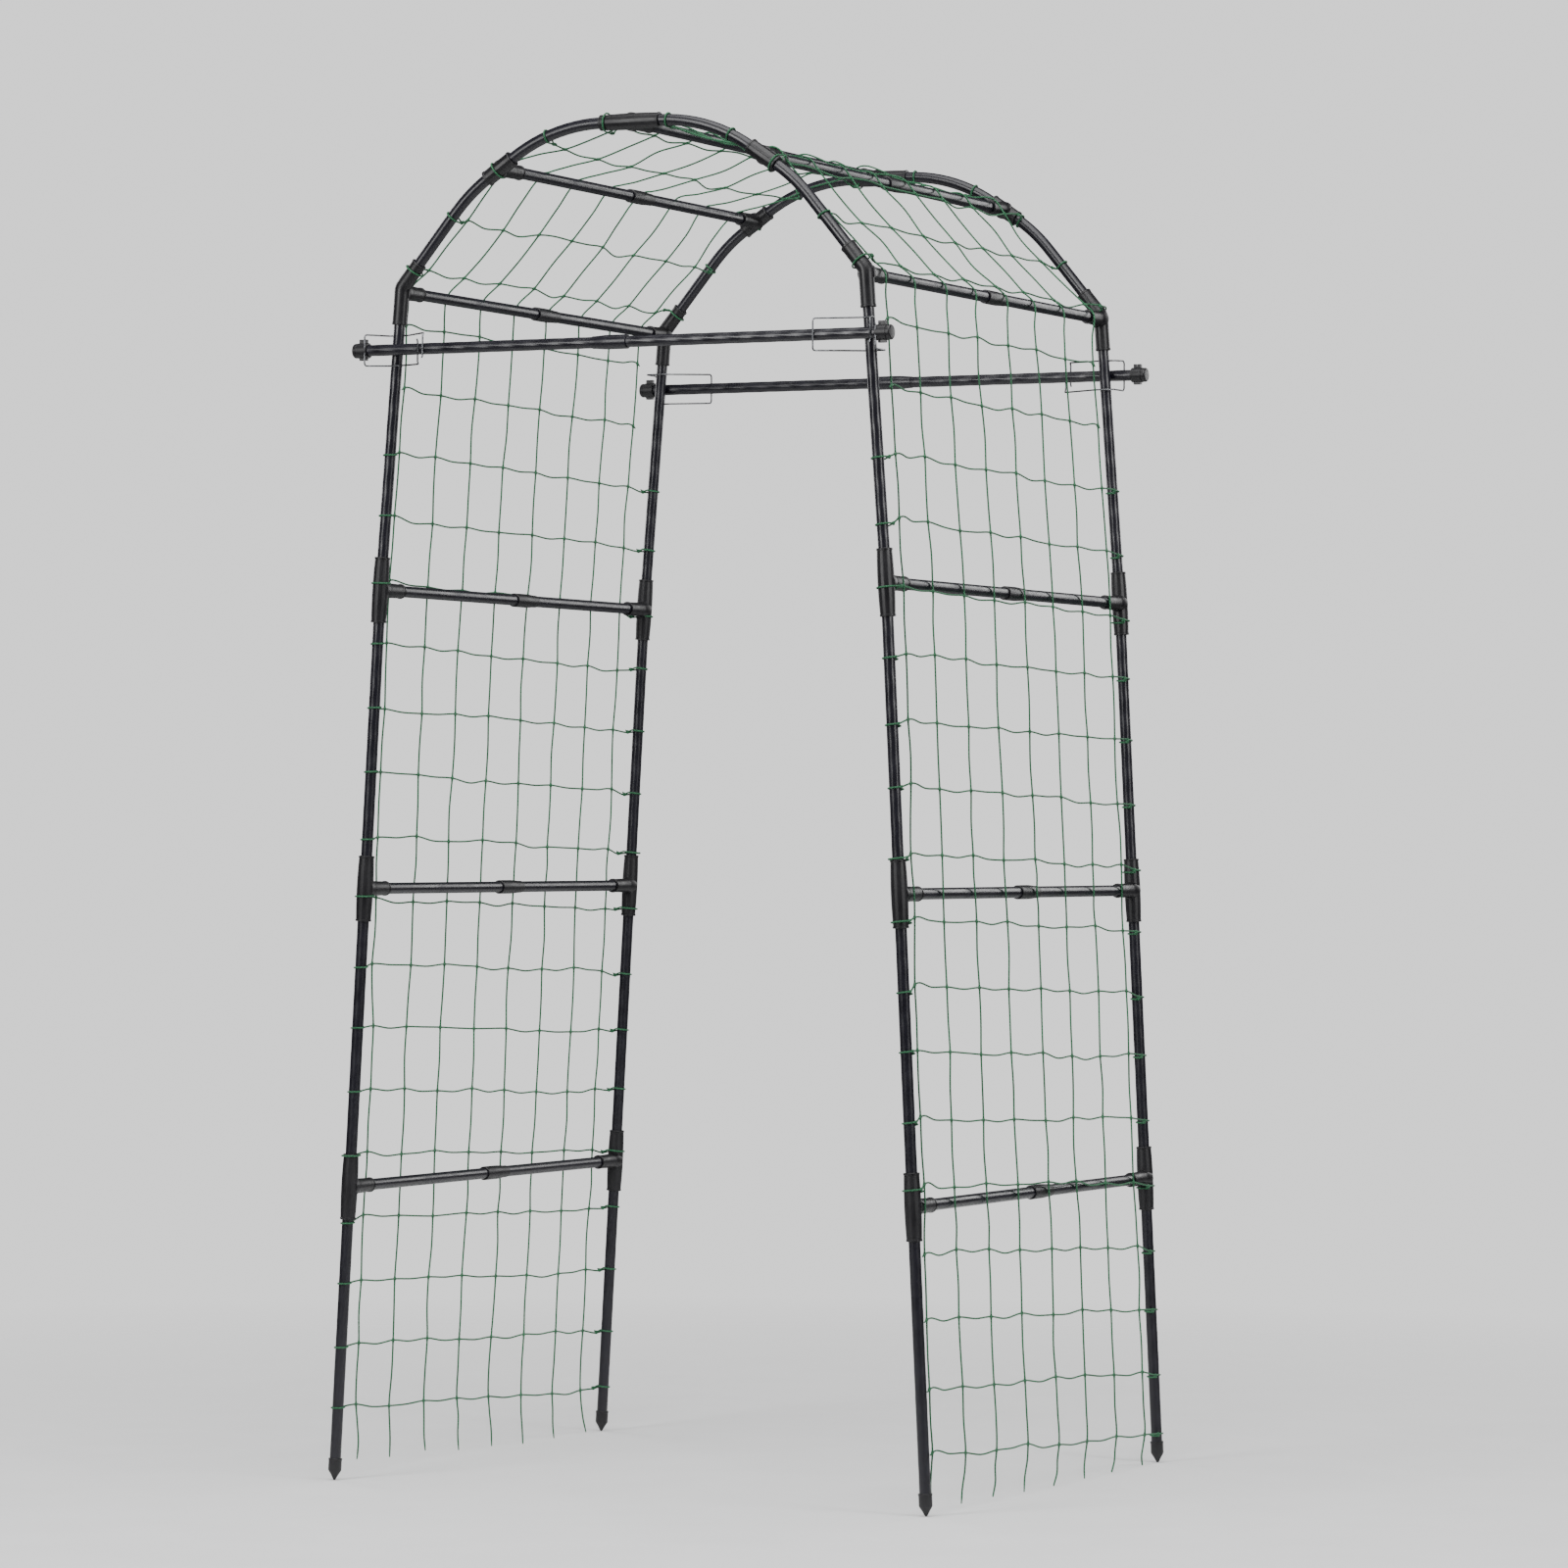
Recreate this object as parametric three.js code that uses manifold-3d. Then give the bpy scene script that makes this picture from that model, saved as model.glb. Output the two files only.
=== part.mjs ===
// Garden trellis arch: two tube end frames joined front to back by rungs, with a climbing net
// over the sides and the roof, and a sliding crossbar clipped across the legs of each frame.
// Millimetres, +Z up, -Y is the front. The origin is on the ground, midway between the stakes.

import * as THREE from "three";
import { mergeVertices } from "three/addons/utils/BufferGeometryUtils.js";
import Module from "manifold-3d";

const wasm = await Module();
wasm.setup();

// ---------- driving dimensions ----------

const TUBE_RADIUS = 8;
const GAP = 0.35; // between two pieces that touch
const SIDES = 12; // facets round a tube or a sleeve

const DEPTH = 790; // front leg axis to rear leg axis
const FOOT_HALF_WIDTH = 460; // arch centre to a leg axis, on the ground
const RUNG_HEIGHTS = { low: 413, middle: 832, high: 1251 };
const SHOULDER_HEIGHT = 1674; // where the leg axis meets the hoop axis
const LEG_LEAN = THREE.MathUtils.degToRad(3.05); // outwards, up to the high rung
const SHOULDER_LEAN = THREE.MathUtils.degToRad(4.4); // outwards, above the high rung

const CROWN_HEIGHT = 1890; // hoop axis at its top
const HOOP_LEAN = THREE.MathUtils.degToRad(40); // hoop's straight foot, from the vertical
const HAUNCH_TURN = THREE.MathUtils.degToRad(34); // slope of the hoop at the haunch tee

const SLEEVE = { arm: 46, waist: 11.8, lip: 10.6 }; // leg and crown tees
const HAUNCH_SLEEVE = { arm: 24, waist: 11.5, lip: 11 };
const SOCKET = { length: 56, root: 10.6, lip: 9.8, floor: 14 }; // what a rung end sits in
const ELBOW = { radius: 10.6, lowerArm: 52, upperArm: 43, stop: 10, socketDrop: 6, socketLength: 50 };
const TUBE_STOP = 5; // from a hoop tee's centre to the tube end inside it

const STAKE = { length: 31, coneLength: 14, radius: 9.5, tip: 2.6, floor: 15 };
const COUPLER = { radius: 10, taperRadius: 8.9, lip: -12, shoulder: 20, end: 52 };

const CROSSBAR_HEIGHT = 1586;
const CROSSBAR_HALF_LENGTH = 418;
const CROSSBAR_SHIFT = -9.5; // the bar sits off centre, towards its long overhang
const CROSSBAR_COUPLER = { radius: 10, taperRadius: 8.9, lip: -16, shoulder: 14, end: 38 };
const END_CAP = { length: 18, radius: 10.8, wall: 4, crown: 3.5 };
const CAP_LUGS = { length: 10, height: 5, thickness: 5, inset: 2 }; // above and below the cap

const CLIP_WIRE_RADIUS = 1;
const CLIP_CLEARANCE = 0.5;
const CLIP_HALF_WIDTH = 47;
const CLIP_HALF_HEIGHT = 22;
const CLIP_BAR_SPACING = 8; // between the two bars at the clip's open end
// Each clip sits `inset` inwards of its leg. Its closed end is on one side of the leg, and one of
// its two wires passes in front of the leg, the other behind it.
const CLIPS = {
  front_left: { inset: 8, closedInside: false, topInFront: false },
  front_right: { inset: 27, closedInside: true, topInFront: true },
  rear_left: { inset: 27, closedInside: true, topInFront: false },
  rear_right: { inset: 27, closedInside: false, topInFront: true },
};

const NET = { offset: 13, thickness: 2, hem: 25, edgeGap: 14, roofSteps: 6 };

// ---------- derived places ----------

const LEG_TOP_HALF_WIDTH = legHalfWidth(SHOULDER_HEIGHT);
const CROSSBAR_REACH = 2 * TUBE_RADIUS + GAP; // leg axis to crossbar axis
const HOOP = hoopPlan();

function legHalfWidth(height) {
  const straight = Math.min(height, RUNG_HEIGHTS.high);
  const above = Math.max(height - RUNG_HEIGHTS.high, 0);
  return FOOT_HALF_WIDTH - straight * Math.tan(LEG_LEAN) - above * Math.tan(SHOULDER_LEAN);
}

// The hoop's right half, from the crown outwards: a flat crown sleeve, an arc, the straight haunch
// sleeve, a second arc of the same radius, and a straight foot. Its radius and the foot's length
// make it meet the leg axis at the shoulder.
function hoopPlan() {
  const sleeve = 2 * HAUNCH_SLEEVE.arm;
  const run = LEG_TOP_HALF_WIDTH - SLEEVE.arm - sleeve * Math.cos(HAUNCH_TURN);
  const drop = CROWN_HEIGHT - SHOULDER_HEIGHT - sleeve * Math.sin(HAUNCH_TURN);
  const sine = Math.sin(HOOP_LEAN);
  const cosine = Math.cos(HOOP_LEAN);
  const radius = (cosine * run - sine * drop) / (1 - sine);
  const foot = (cosine * drop - (1 - sine) * run) / (1 - sine);
  const arcStart = new THREE.Vector2(SLEEVE.arm, CROWN_HEIGHT);
  const haunchStart = alongArc(arcStart, radius, 0, HAUNCH_TURN);
  const haunch = alongLine(haunchStart, HAUNCH_TURN, HAUNCH_SLEEVE.arm);
  const haunchEnd = alongLine(haunchStart, HAUNCH_TURN, sleeve);
  const footTurn = Math.PI / 2 - HOOP_LEAN;
  const footStart = alongArc(haunchEnd, radius, HAUNCH_TURN, footTurn);
  return { radius, foot, arcStart, haunchStart, haunch, haunchEnd, footTurn, footStart };
}

// Where an arc that starts at `from` with slope `turnA` has got to when its slope is `turnB`.
function alongArc(from, radius, turnA, turnB) {
  const x = from.x + radius * (Math.sin(turnB) - Math.sin(turnA));
  const z = from.y - radius * (Math.cos(turnA) - Math.cos(turnB));
  return new THREE.Vector2(x, z);
}

function alongLine(from, turn, length) {
  return new THREE.Vector2(from.x + length * Math.cos(turn), from.y - length * Math.sin(turn));
}

function arcPoints(from, radius, turnA, turnB, steps) {
  const points = [];
  for (let step = 0; step <= steps; step++) {
    points.push(alongArc(from, radius, turnA, turnA + ((turnB - turnA) * step) / steps));
  }
  return points;
}

// ---------- materials ----------

const surface = (color, roughness, metalness) => {
  return new THREE.MeshStandardMaterial({ color, roughness, metalness });
};
const coatedSteel = () => surface(0x1b1a1f, 0.42, 0.1);
const blackPlastic = () => surface(0x19181b, 0.55, 0);
const zincWire = () => surface(0xb9bcc0, 0.35, 0.9);
const greenNet = () => surface(0x1f5a37, 0.6, 0);

function named(name, geometry, material) {
  const mesh = new THREE.Mesh(geometry, material);
  mesh.name = name;
  return mesh;
}

// ---------- shape helpers ----------

// A path of straight lines whose sections fall exactly on its points.
class PointPath extends THREE.Curve {
  constructor(points) {
    super();
    this.points = points;
  }

  getPoint(t, target = new THREE.Vector3()) {
    const last = this.points.length - 1;
    const place = Math.min(Math.max(t, 0), 1) * last;
    const index = Math.min(Math.floor(place), last - 1);
    return target.lerpVectors(this.points[index], this.points[index + 1], place - index);
  }

  getPointAt(u, target) {
    return this.getPoint(u, target);
  }

  // At a bend the section lies half way between the two directions.
  getTangentAt(u, target = new THREE.Vector3()) {
    const last = this.points.length - 1;
    const index = Math.round(u * last);
    target.set(0, 0, 0);
    if (index > 0) target.add(this.points[index].clone().sub(this.points[index - 1]).normalize());
    if (index < last) target.add(this.points[index + 1].clone().sub(this.points[index]).normalize());
    return target.normalize();
  }
}

function circle(radius, sides) {
  const points = [];
  for (let corner = 0; corner < sides; corner++) {
    const angle = (2 * Math.PI * (corner + 0.5)) / sides;
    points.push(new THREE.Vector2(radius * Math.cos(angle), radius * Math.sin(angle)));
  }
  return new THREE.Shape(points);
}

function rodAlong(points, radius, sides = SIDES) {
  const path = new PointPath(points);
  const options = { extrudePath: path, steps: points.length - 1, bevelEnabled: false };
  return new THREE.ExtrudeGeometry(circle(radius, sides), options);
}

// A closed solid of revolution about +Y. The profile is a list of [radius, place along Y].
function turned(profile) {
  return new THREE.LatheGeometry(profile.map(([radius, y]) => new THREE.Vector2(radius, y)), SIDES);
}

// Turns a shape made along +Y so that it points along `direction`, and moves it to `origin`.
function aimed(geometry, direction, origin = new THREE.Vector3()) {
  const turn = new THREE.Quaternion().setFromUnitVectors(new THREE.Vector3(0, 1, 0), direction);
  return geometry.applyQuaternion(turn).translate(origin.x, origin.y, origin.z);
}

function cone(fromRadius, toRadius, from, to) {
  return turned([[0, from], [fromRadius, from], [toRadius, to], [0, to]]);
}

function toSolid(geometry) {
  const bare = geometry.clone();
  bare.deleteAttribute("normal");
  bare.deleteAttribute("uv");
  const merged = mergeVertices(bare, 1e-4);
  const vertProperties = new Float32Array(merged.attributes.position.array);
  const triVerts = new Uint32Array(merged.index.array);
  return new wasm.Manifold(new wasm.Mesh({ numProp: 3, vertProperties, triVerts }));
}

function toGeometry(solid) {
  const { vertProperties, triVerts } = solid.getMesh();
  const geometry = new THREE.BufferGeometry();
  geometry.setAttribute("position", new THREE.BufferAttribute(new Float32Array(vertProperties), 3));
  geometry.setIndex(new THREE.BufferAttribute(new Uint32Array(triVerts), 1));
  const faceted = geometry.toNonIndexed();
  faceted.computeVertexNormals();
  return faceted;
}

// Joins the outer shapes and cuts the bores out of them.
function moulded(outers, bores) {
  const body = outers.map(toSolid).reduce((joined, next) => joined.add(next));
  const cut = bores.map(toSolid).reduce((left, bore) => left.subtract(bore), body);
  return toGeometry(cut);
}

const INWARDS = new THREE.Vector3(0, 1, 0); // from an end frame towards the other one
const BORE_RADIUS = TUBE_RADIUS + GAP;
const BORE_OVERRUN = 5; // how far a bore's cutter runs past its mouth

// In an end frame's own XZ plane: a direction that leans by `angle` from +Z towards +X.
function leaning(angle) {
  return new THREE.Vector3(Math.sin(angle), 0, Math.cos(angle));
}

// ---------- connectors ----------

function rungSocket(length, origin) {
  return aimed(cone(SOCKET.root, SOCKET.lip, 0, length), INWARDS, origin);
}

function bore(direction, from, length, origin) {
  return aimed(cone(BORE_RADIUS, BORE_RADIUS, from, length + BORE_OVERRUN), direction, origin);
}

// A straight sleeve along `direction` with a socket for a rung half way along it. The tube on
// each side has its own bore, which starts `floor` from the middle and follows its tube.
function tee(direction, sleeve, bores) {
  const { arm, lip, waist } = sleeve;
  const profile = [[0, -arm], [lip, -arm], [waist, 0], [lip, arm], [0, arm]];
  const outers = [aimed(turned(profile), direction), rungSocket(SOCKET.length)];
  const cutters = bores.map(({ along, floor }) => bore(along, floor, arm));
  cutters.push(bore(INWARDS, SOCKET.floor, SOCKET.length));
  return moulded(outers, cutters);
}

// The bores of a hoop tee, for a tube from each side.
function bothWays(along) {
  return [along, along.clone().negate()].map((way) => ({ along: way, floor: TUBE_STOP }));
}

// The bent connector at the top of a leg. `side` is -1 or 1, the side of the frame it is on.
function elbow(side) {
  const down = leaning(-side * SHOULDER_LEAN).negate();
  const up = leaning(-side * HOOP_LEAN);
  const corner = ELBOW.stop;
  const points = [
    down.clone().multiplyScalar(ELBOW.lowerArm),
    down.clone().multiplyScalar(corner),
    down.clone().add(up).multiplyScalar(corner / 4),
    up.clone().multiplyScalar(corner),
    up.clone().multiplyScalar(ELBOW.upperArm),
  ];
  const drop = new THREE.Vector3(0, 0, -ELBOW.socketDrop);
  const outers = [rodAlong(points, ELBOW.radius), rungSocket(ELBOW.socketLength, drop)];
  const cutters = [
    bore(down, ELBOW.stop, ELBOW.lowerArm),
    bore(up, ELBOW.stop, ELBOW.upperArm),
    bore(INWARDS, SOCKET.floor, ELBOW.socketLength, drop),
  ];
  return moulded(outers, cutters);
}

// A pressed-on point with a socket for the leg, leaning with the leg and trimmed level with the
// ground, so that it can also stand.
function stakeTip(side) {
  const { length, coneLength, radius, tip, floor } = STAKE;
  const along = leaning(-side * LEG_LEAN);
  const buried = 1; // what the cut level with the ground takes off
  const point = [[0, -buried], [tip, -buried], [tip, 0], [radius, coneLength]];
  const outer = aimed(turned([...point, [radius, length], [0, length]]), along);
  const block = 4 * radius;
  const ground = new THREE.BoxGeometry(block, block, block).translate(0, 0, -block / 2);
  return moulded([outer], [bore(along, floor, length), ground]);
}

// ---------- tubes ----------

// A leg: its tubes are joined end to end inside the tees, so they are one straight-sided pole.
function legPole(side) {
  const axisAt = (height) => {
    return new THREE.Vector3(side * (legHalfWidth(height) - FOOT_HALF_WIDTH), 0, height);
  };
  const bottom = leaning(-side * LEG_LEAN).multiplyScalar(STAKE.floor + GAP);
  const top = leaning(-side * SHOULDER_LEAN).multiplyScalar(-ELBOW.stop - GAP);
  top.add(axisAt(SHOULDER_HEIGHT));
  return rodAlong([bottom, axisAt(RUNG_HEIGHTS.high), top], TUBE_RADIUS);
}

function hoopTube(side, planPoints) {
  const points = planPoints.map((point) => new THREE.Vector3(side * point.x, 0, point.y));
  return rodAlong(points, TUBE_RADIUS);
}

function upperHoopTube(side) {
  const start = new THREE.Vector2(TUBE_STOP + GAP, CROWN_HEIGHT);
  const bend = arcPoints(HOOP.arcStart, HOOP.radius, 0, HAUNCH_TURN, 5);
  const end = alongLine(HOOP.haunch, HAUNCH_TURN, -TUBE_STOP - GAP);
  return hoopTube(side, [start, ...bend, end]);
}

function lowerHoopTube(side) {
  const start = alongLine(HOOP.haunch, HAUNCH_TURN, TUBE_STOP + GAP);
  const bend = arcPoints(HOOP.haunchEnd, HOOP.radius, HAUNCH_TURN, HOOP.footTurn, 3);
  const end = alongLine(HOOP.footStart, HOOP.footTurn, HOOP.foot - ELBOW.stop - GAP);
  return hoopTube(side, [start, ...bend, end]);
}

// Two tubes and the straight coupler that joins them, along +Y.
function coupledTubes(halfLength, { radius, taperRadius, lip, shoulder, end }) {
  return turned([
    [0, -halfLength],
    [TUBE_RADIUS, -halfLength],
    [TUBE_RADIUS, lip],
    [radius, lip],
    [radius, shoulder],
    [taperRadius, end],
    [TUBE_RADIUS, end],
    [TUBE_RADIUS, halfLength],
    [0, halfLength],
  ]);
}

// ---------- crossbar pieces ----------

// A cup over the end of the bar, along +Y with its closed end outermost, and a lug for tying
// strings to above it and below it.
function endCap() {
  const { length, radius, wall, crown } = END_CAP;
  const cup = turned([
    [0, 0],
    [radius, 0],
    [radius, length - crown],
    [radius - crown, length],
    [0, length],
  ]);
  const lugSpan = 2 * (radius + CAP_LUGS.height);
  const lugs = new THREE.BoxGeometry(CAP_LUGS.thickness, CAP_LUGS.length, lugSpan);
  lugs.translate(0, CAP_LUGS.inset + CAP_LUGS.length / 2, 0);
  return moulded([cup, lugs], [cone(BORE_RADIUS, BORE_RADIUS, -BORE_OVERRUN, length - wall)]);
}

// A bent spring wire that holds the crossbar to a leg. Its closed end is one bar across the front
// of the crossbar, and its open end is two, where the wires from above and below stop. Its origin
// is on the leg axis, level with the crossbar.
function crossClip(side, { inset, closedInside, topInFront }) {
  const toLeg = TUBE_RADIUS + CLIP_WIRE_RADIUS + CLIP_CLEARANCE;
  const front = -CROSSBAR_REACH - toLeg;
  const inner = inset + CLIP_HALF_WIDTH;
  const outer = inset - CLIP_HALF_WIDTH;
  const [closed, open] = closedInside ? [inner, outer] : [outer, inner];
  const secondBar = open + Math.sign(closed - open) * CLIP_BAR_SPACING;
  const [topBar, bottomBar] = topInFront ? [secondBar, open] : [open, secondBar];
  const corner = 3;
  const freeEnd = 13; // how far a bar's free end runs past the crossbar axis
  const high = CLIP_HALF_HEIGHT;

  // The straight stretch past the leg, from the open end's side to the closed end's. Behind the
  // leg it reaches further out, because the leg splays lower down.
  const pastLeg = (height, inFront) => {
    const outwards = inFront ? -10 : Math.max(-17, outer + corner);
    const ends = closedInside ? [outwards, 10] : [10, outwards];
    return ends.map((inwards) => [inwards, inFront ? -toLeg : toLeg, height]);
  };

  const route = [
    [topBar, front, -freeEnd],
    [topBar, front, high - corner],
    [topBar, front + corner, high],
    ...pastLeg(high, topInFront),
    [closed, front + corner, high],
    [closed, front, high - corner],
    [closed, front, corner - high],
    [closed, front + corner, -high],
    ...pastLeg(-high, !topInFront).reverse(),
    [bottomBar, front + corner, -high],
    [bottomBar, front, corner - high],
    [bottomBar, front, freeEnd],
  ];
  const points = route.map(([inwards, y, z]) => new THREE.Vector3(-side * inwards, y, z));
  return rodAlong(points, CLIP_WIRE_RADIUS, 6);
}

// ---------- net ----------

// The net as a thin sheet just outside the rungs: up the left side, over the roof and down the
// right side, in one piece.
function climbingNet() {
  const half = [
    new THREE.Vector2(0, CROWN_HEIGHT),
    ...arcPoints(HOOP.arcStart, HOOP.radius, 0, HAUNCH_TURN, NET.roofSteps),
    ...arcPoints(HOOP.haunchEnd, HOOP.radius, HAUNCH_TURN, HOOP.footTurn, NET.roofSteps / 2),
    new THREE.Vector2(LEG_TOP_HALF_WIDTH, SHOULDER_HEIGHT),
    new THREE.Vector2(legHalfWidth(RUNG_HEIGHTS.high), RUNG_HEIGHTS.high),
    new THREE.Vector2(legHalfWidth(NET.hem), NET.hem),
  ];
  const mirrored = half.slice(1).reverse().map((point) => new THREE.Vector2(-point.x, point.y));
  const axis = [...mirrored, ...half];
  const inner = offsetPath(axis, NET.offset - NET.thickness / 2);
  const outer = offsetPath(axis, NET.offset + NET.thickness / 2);
  const width = DEPTH - 2 * NET.edgeGap;
  const options = { depth: width, bevelEnabled: false };
  const sheet = new THREE.ExtrudeGeometry(new THREE.Shape([...inner, ...outer.reverse()]), options);
  return sheet.rotateX(Math.PI / 2).translate(0, width / 2, 0);
}

// Moves a path that runs from left to right outwards, which is to its left.
function offsetPath(points, distance) {
  const last = points.length - 1;
  return points.map((point, index) => {
    const before = direction2(points[Math.max(index - 1, 0)], points[Math.max(index, 1)]);
    const after = direction2(points[Math.min(index, last - 1)], points[Math.min(index + 1, last)]);
    const mid = before.clone().add(after).normalize();
    const stretch = distance / mid.dot(before);
    return new THREE.Vector2(point.x - mid.y * stretch, point.y + mid.x * stretch);
  });
}

function direction2(from, to) {
  return to.clone().sub(from).normalize();
}

// ---------- assemblies ----------

function placed(mesh, x, y, z) {
  mesh.position.set(x, y, z);
  return mesh;
}

// One leg with its stake tip, tees and elbow, in its end frame's own coordinates.
function buildLeg(side, label) {
  const leg = new THREE.Group();
  const foot = side * FOOT_HALF_WIDTH;
  leg.add(placed(named(`${label}_stake_tip`, stakeTip(side), blackPlastic()), foot, 0, 0));
  leg.add(placed(named(`${label}_leg_pole`, legPole(side), coatedSteel()), foot, 0, 0));
  const below = leaning(-side * LEG_LEAN);
  for (const [level, height] of Object.entries(RUNG_HEIGHTS)) {
    const above = level === "high" ? leaning(-side * SHOULDER_LEAN) : below;
    const middle = below.clone().add(above).normalize();
    const bores = [{ along: below.clone().negate(), floor: -1 }, { along: above, floor: -1 }];
    const mesh = named(`${label}_${level}_tee`, tee(middle, SLEEVE, bores), blackPlastic());
    leg.add(placed(mesh, side * legHalfWidth(height), 0, height));
  }
  const bend = named(`${label}_shoulder_elbow`, elbow(side), blackPlastic());
  leg.add(placed(bend, side * LEG_TOP_HALF_WIDTH, 0, SHOULDER_HEIGHT));
  return leg;
}

function buildHalfHoop(side, label) {
  const hoop = new THREE.Group();
  hoop.add(named(`${label}_lower_hoop_tube`, lowerHoopTube(side), coatedSteel()));
  hoop.add(named(`${label}_upper_hoop_tube`, upperHoopTube(side), coatedSteel()));
  const along = new THREE.Vector3(side * Math.cos(HAUNCH_TURN), 0, -Math.sin(HAUNCH_TURN));
  const body = tee(along, HAUNCH_SLEEVE, bothWays(along));
  const haunch = named(`${label}_haunch_tee`, body, blackPlastic());
  hoop.add(placed(haunch, side * HOOP.haunch.x, 0, HOOP.haunch.y));
  return hoop;
}

function buildCrossbar(row, sideName) {
  const bar = new THREE.Group();
  bar.position.set(CROSSBAR_SHIFT, -CROSSBAR_REACH, CROSSBAR_HEIGHT);
  const tubeHalf = CROSSBAR_HALF_LENGTH - END_CAP.wall - GAP;
  const tubes = named(`${row}_crossbar`, coupledTubes(tubeHalf, CROSSBAR_COUPLER), coatedSteel());
  tubes.rotation.z = Math.PI / 2;
  bar.add(tubes);
  for (const side of [-1, 1]) {
    const place = sideName(side);
    const cap = named(`${row}_crossbar_${place}_cap`, endCap(), blackPlastic());
    cap.rotation.z = (-side * Math.PI) / 2;
    bar.add(placed(cap, side * (CROSSBAR_HALF_LENGTH - END_CAP.length), 0, 0));
    const wire = crossClip(side, CLIPS[`${row}_${place}`]);
    const clip = named(`${row}_${place}_cross_clip`, wire, zincWire());
    const legAxis = side * legHalfWidth(CROSSBAR_HEIGHT);
    bar.add(placed(clip, legAxis - CROSSBAR_SHIFT, CROSSBAR_REACH, 0));
  }
  return bar;
}

// One end of the arch. The rear end is the front end turned half round, so its sides swap.
function buildEndFrame(row) {
  const frame = new THREE.Group();
  const turnedRound = row === "rear";
  const sideName = (side) => ((side < 0) === turnedRound ? "right" : "left");
  frame.rotation.z = turnedRound ? Math.PI : 0;
  frame.position.y = turnedRound ? DEPTH / 2 : -DEPTH / 2;
  for (const side of [-1, 1]) {
    const label = `${row}_${sideName(side)}`;
    frame.add(buildLeg(side, label), buildHalfHoop(side, label));
  }
  const across = new THREE.Vector3(1, 0, 0);
  const crown = named(`${row}_crown_tee`, tee(across, SLEEVE, bothWays(across)), blackPlastic());
  frame.add(placed(crown, 0, 0, CROWN_HEIGHT), buildCrossbar(row, sideName));
  return frame;
}

function buildRungs() {
  const rungs = new THREE.Group();
  const halfLength = DEPTH / 2 - SOCKET.floor - GAP;
  const add = (label, x, z) => {
    const rung = named(`${label}_rung`, coupledTubes(halfLength, COUPLER), coatedSteel());
    rungs.add(placed(rung, x, 0, z));
  };
  for (const [label, side] of [["left", -1], ["right", 1]]) {
    for (const [level, height] of Object.entries(RUNG_HEIGHTS)) {
      add(`${label}_${level}`, side * legHalfWidth(height), height);
    }
    add(`${label}_shoulder`, side * LEG_TOP_HALF_WIDTH, SHOULDER_HEIGHT - ELBOW.socketDrop);
    add(`${label}_haunch`, side * HOOP.haunch.x, HOOP.haunch.y);
  }
  add("crown", 0, CROWN_HEIGHT);
  return rungs;
}

const arch = new THREE.Group();
arch.add(buildEndFrame("front"), buildEndFrame("rear"), buildRungs());
arch.add(named("climbing_net", climbingNet(), greenNet()));

export default arch;
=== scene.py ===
import itertools
import math
import random

import bpy
import numpy as np
from mathutils import Matrix, Vector


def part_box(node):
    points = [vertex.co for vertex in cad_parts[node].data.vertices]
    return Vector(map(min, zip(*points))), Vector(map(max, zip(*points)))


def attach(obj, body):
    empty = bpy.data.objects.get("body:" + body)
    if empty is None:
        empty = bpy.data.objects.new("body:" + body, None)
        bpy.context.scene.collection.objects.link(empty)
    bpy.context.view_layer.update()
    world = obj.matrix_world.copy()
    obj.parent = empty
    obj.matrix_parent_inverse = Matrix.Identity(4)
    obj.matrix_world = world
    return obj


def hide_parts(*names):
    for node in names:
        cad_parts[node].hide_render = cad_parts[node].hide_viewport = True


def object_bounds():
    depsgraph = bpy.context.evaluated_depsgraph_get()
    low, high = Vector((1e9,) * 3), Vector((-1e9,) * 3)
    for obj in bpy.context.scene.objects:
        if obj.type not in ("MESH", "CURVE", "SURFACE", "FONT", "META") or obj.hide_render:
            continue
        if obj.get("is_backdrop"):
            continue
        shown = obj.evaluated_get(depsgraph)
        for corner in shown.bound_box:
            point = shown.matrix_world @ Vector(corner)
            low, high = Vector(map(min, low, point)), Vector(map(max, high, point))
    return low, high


# The garden trellis arch: coated tubes, moulded connectors, wire clips and the knotted net, built
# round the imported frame. Metres, +Z up, -Y is the front. Places come from the frame's own nodes.

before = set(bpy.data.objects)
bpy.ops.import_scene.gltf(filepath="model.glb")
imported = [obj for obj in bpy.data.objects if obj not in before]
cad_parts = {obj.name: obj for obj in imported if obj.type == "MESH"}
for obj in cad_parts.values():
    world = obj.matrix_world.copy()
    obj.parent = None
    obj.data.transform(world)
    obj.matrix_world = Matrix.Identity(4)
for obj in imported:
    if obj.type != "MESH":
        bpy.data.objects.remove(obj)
cad_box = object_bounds()

MM = 0.001
ROWS = ("front", "rear")
SIDES = ("left", "right")
SIGN = {"left": -1, "right": 1, "front": -1, "rear": 1}  # along X or Y
LEVELS = ("low", "middle", "high")
FIXED = "arch_frame"

# ---- driving dimensions ----

def millimetres(**sizes):
    return {name: size * MM for name, size in sizes.items()}


TUBE_RADIUS = 8 * MM
BORE_RADIUS = 8.35 * MM

SLEEVE = millimetres(arm=46, end=10.5, waist=11.6, rim=11.1)
HAUNCH_SLEEVE = millimetres(arm=24, end=11.0, waist=11.3, rim=11.8)
SLEEVE_FACETS = 14
RIM_LENGTH = 2.6 * MM
EDGE_ROUND = 0.5 * MM

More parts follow.
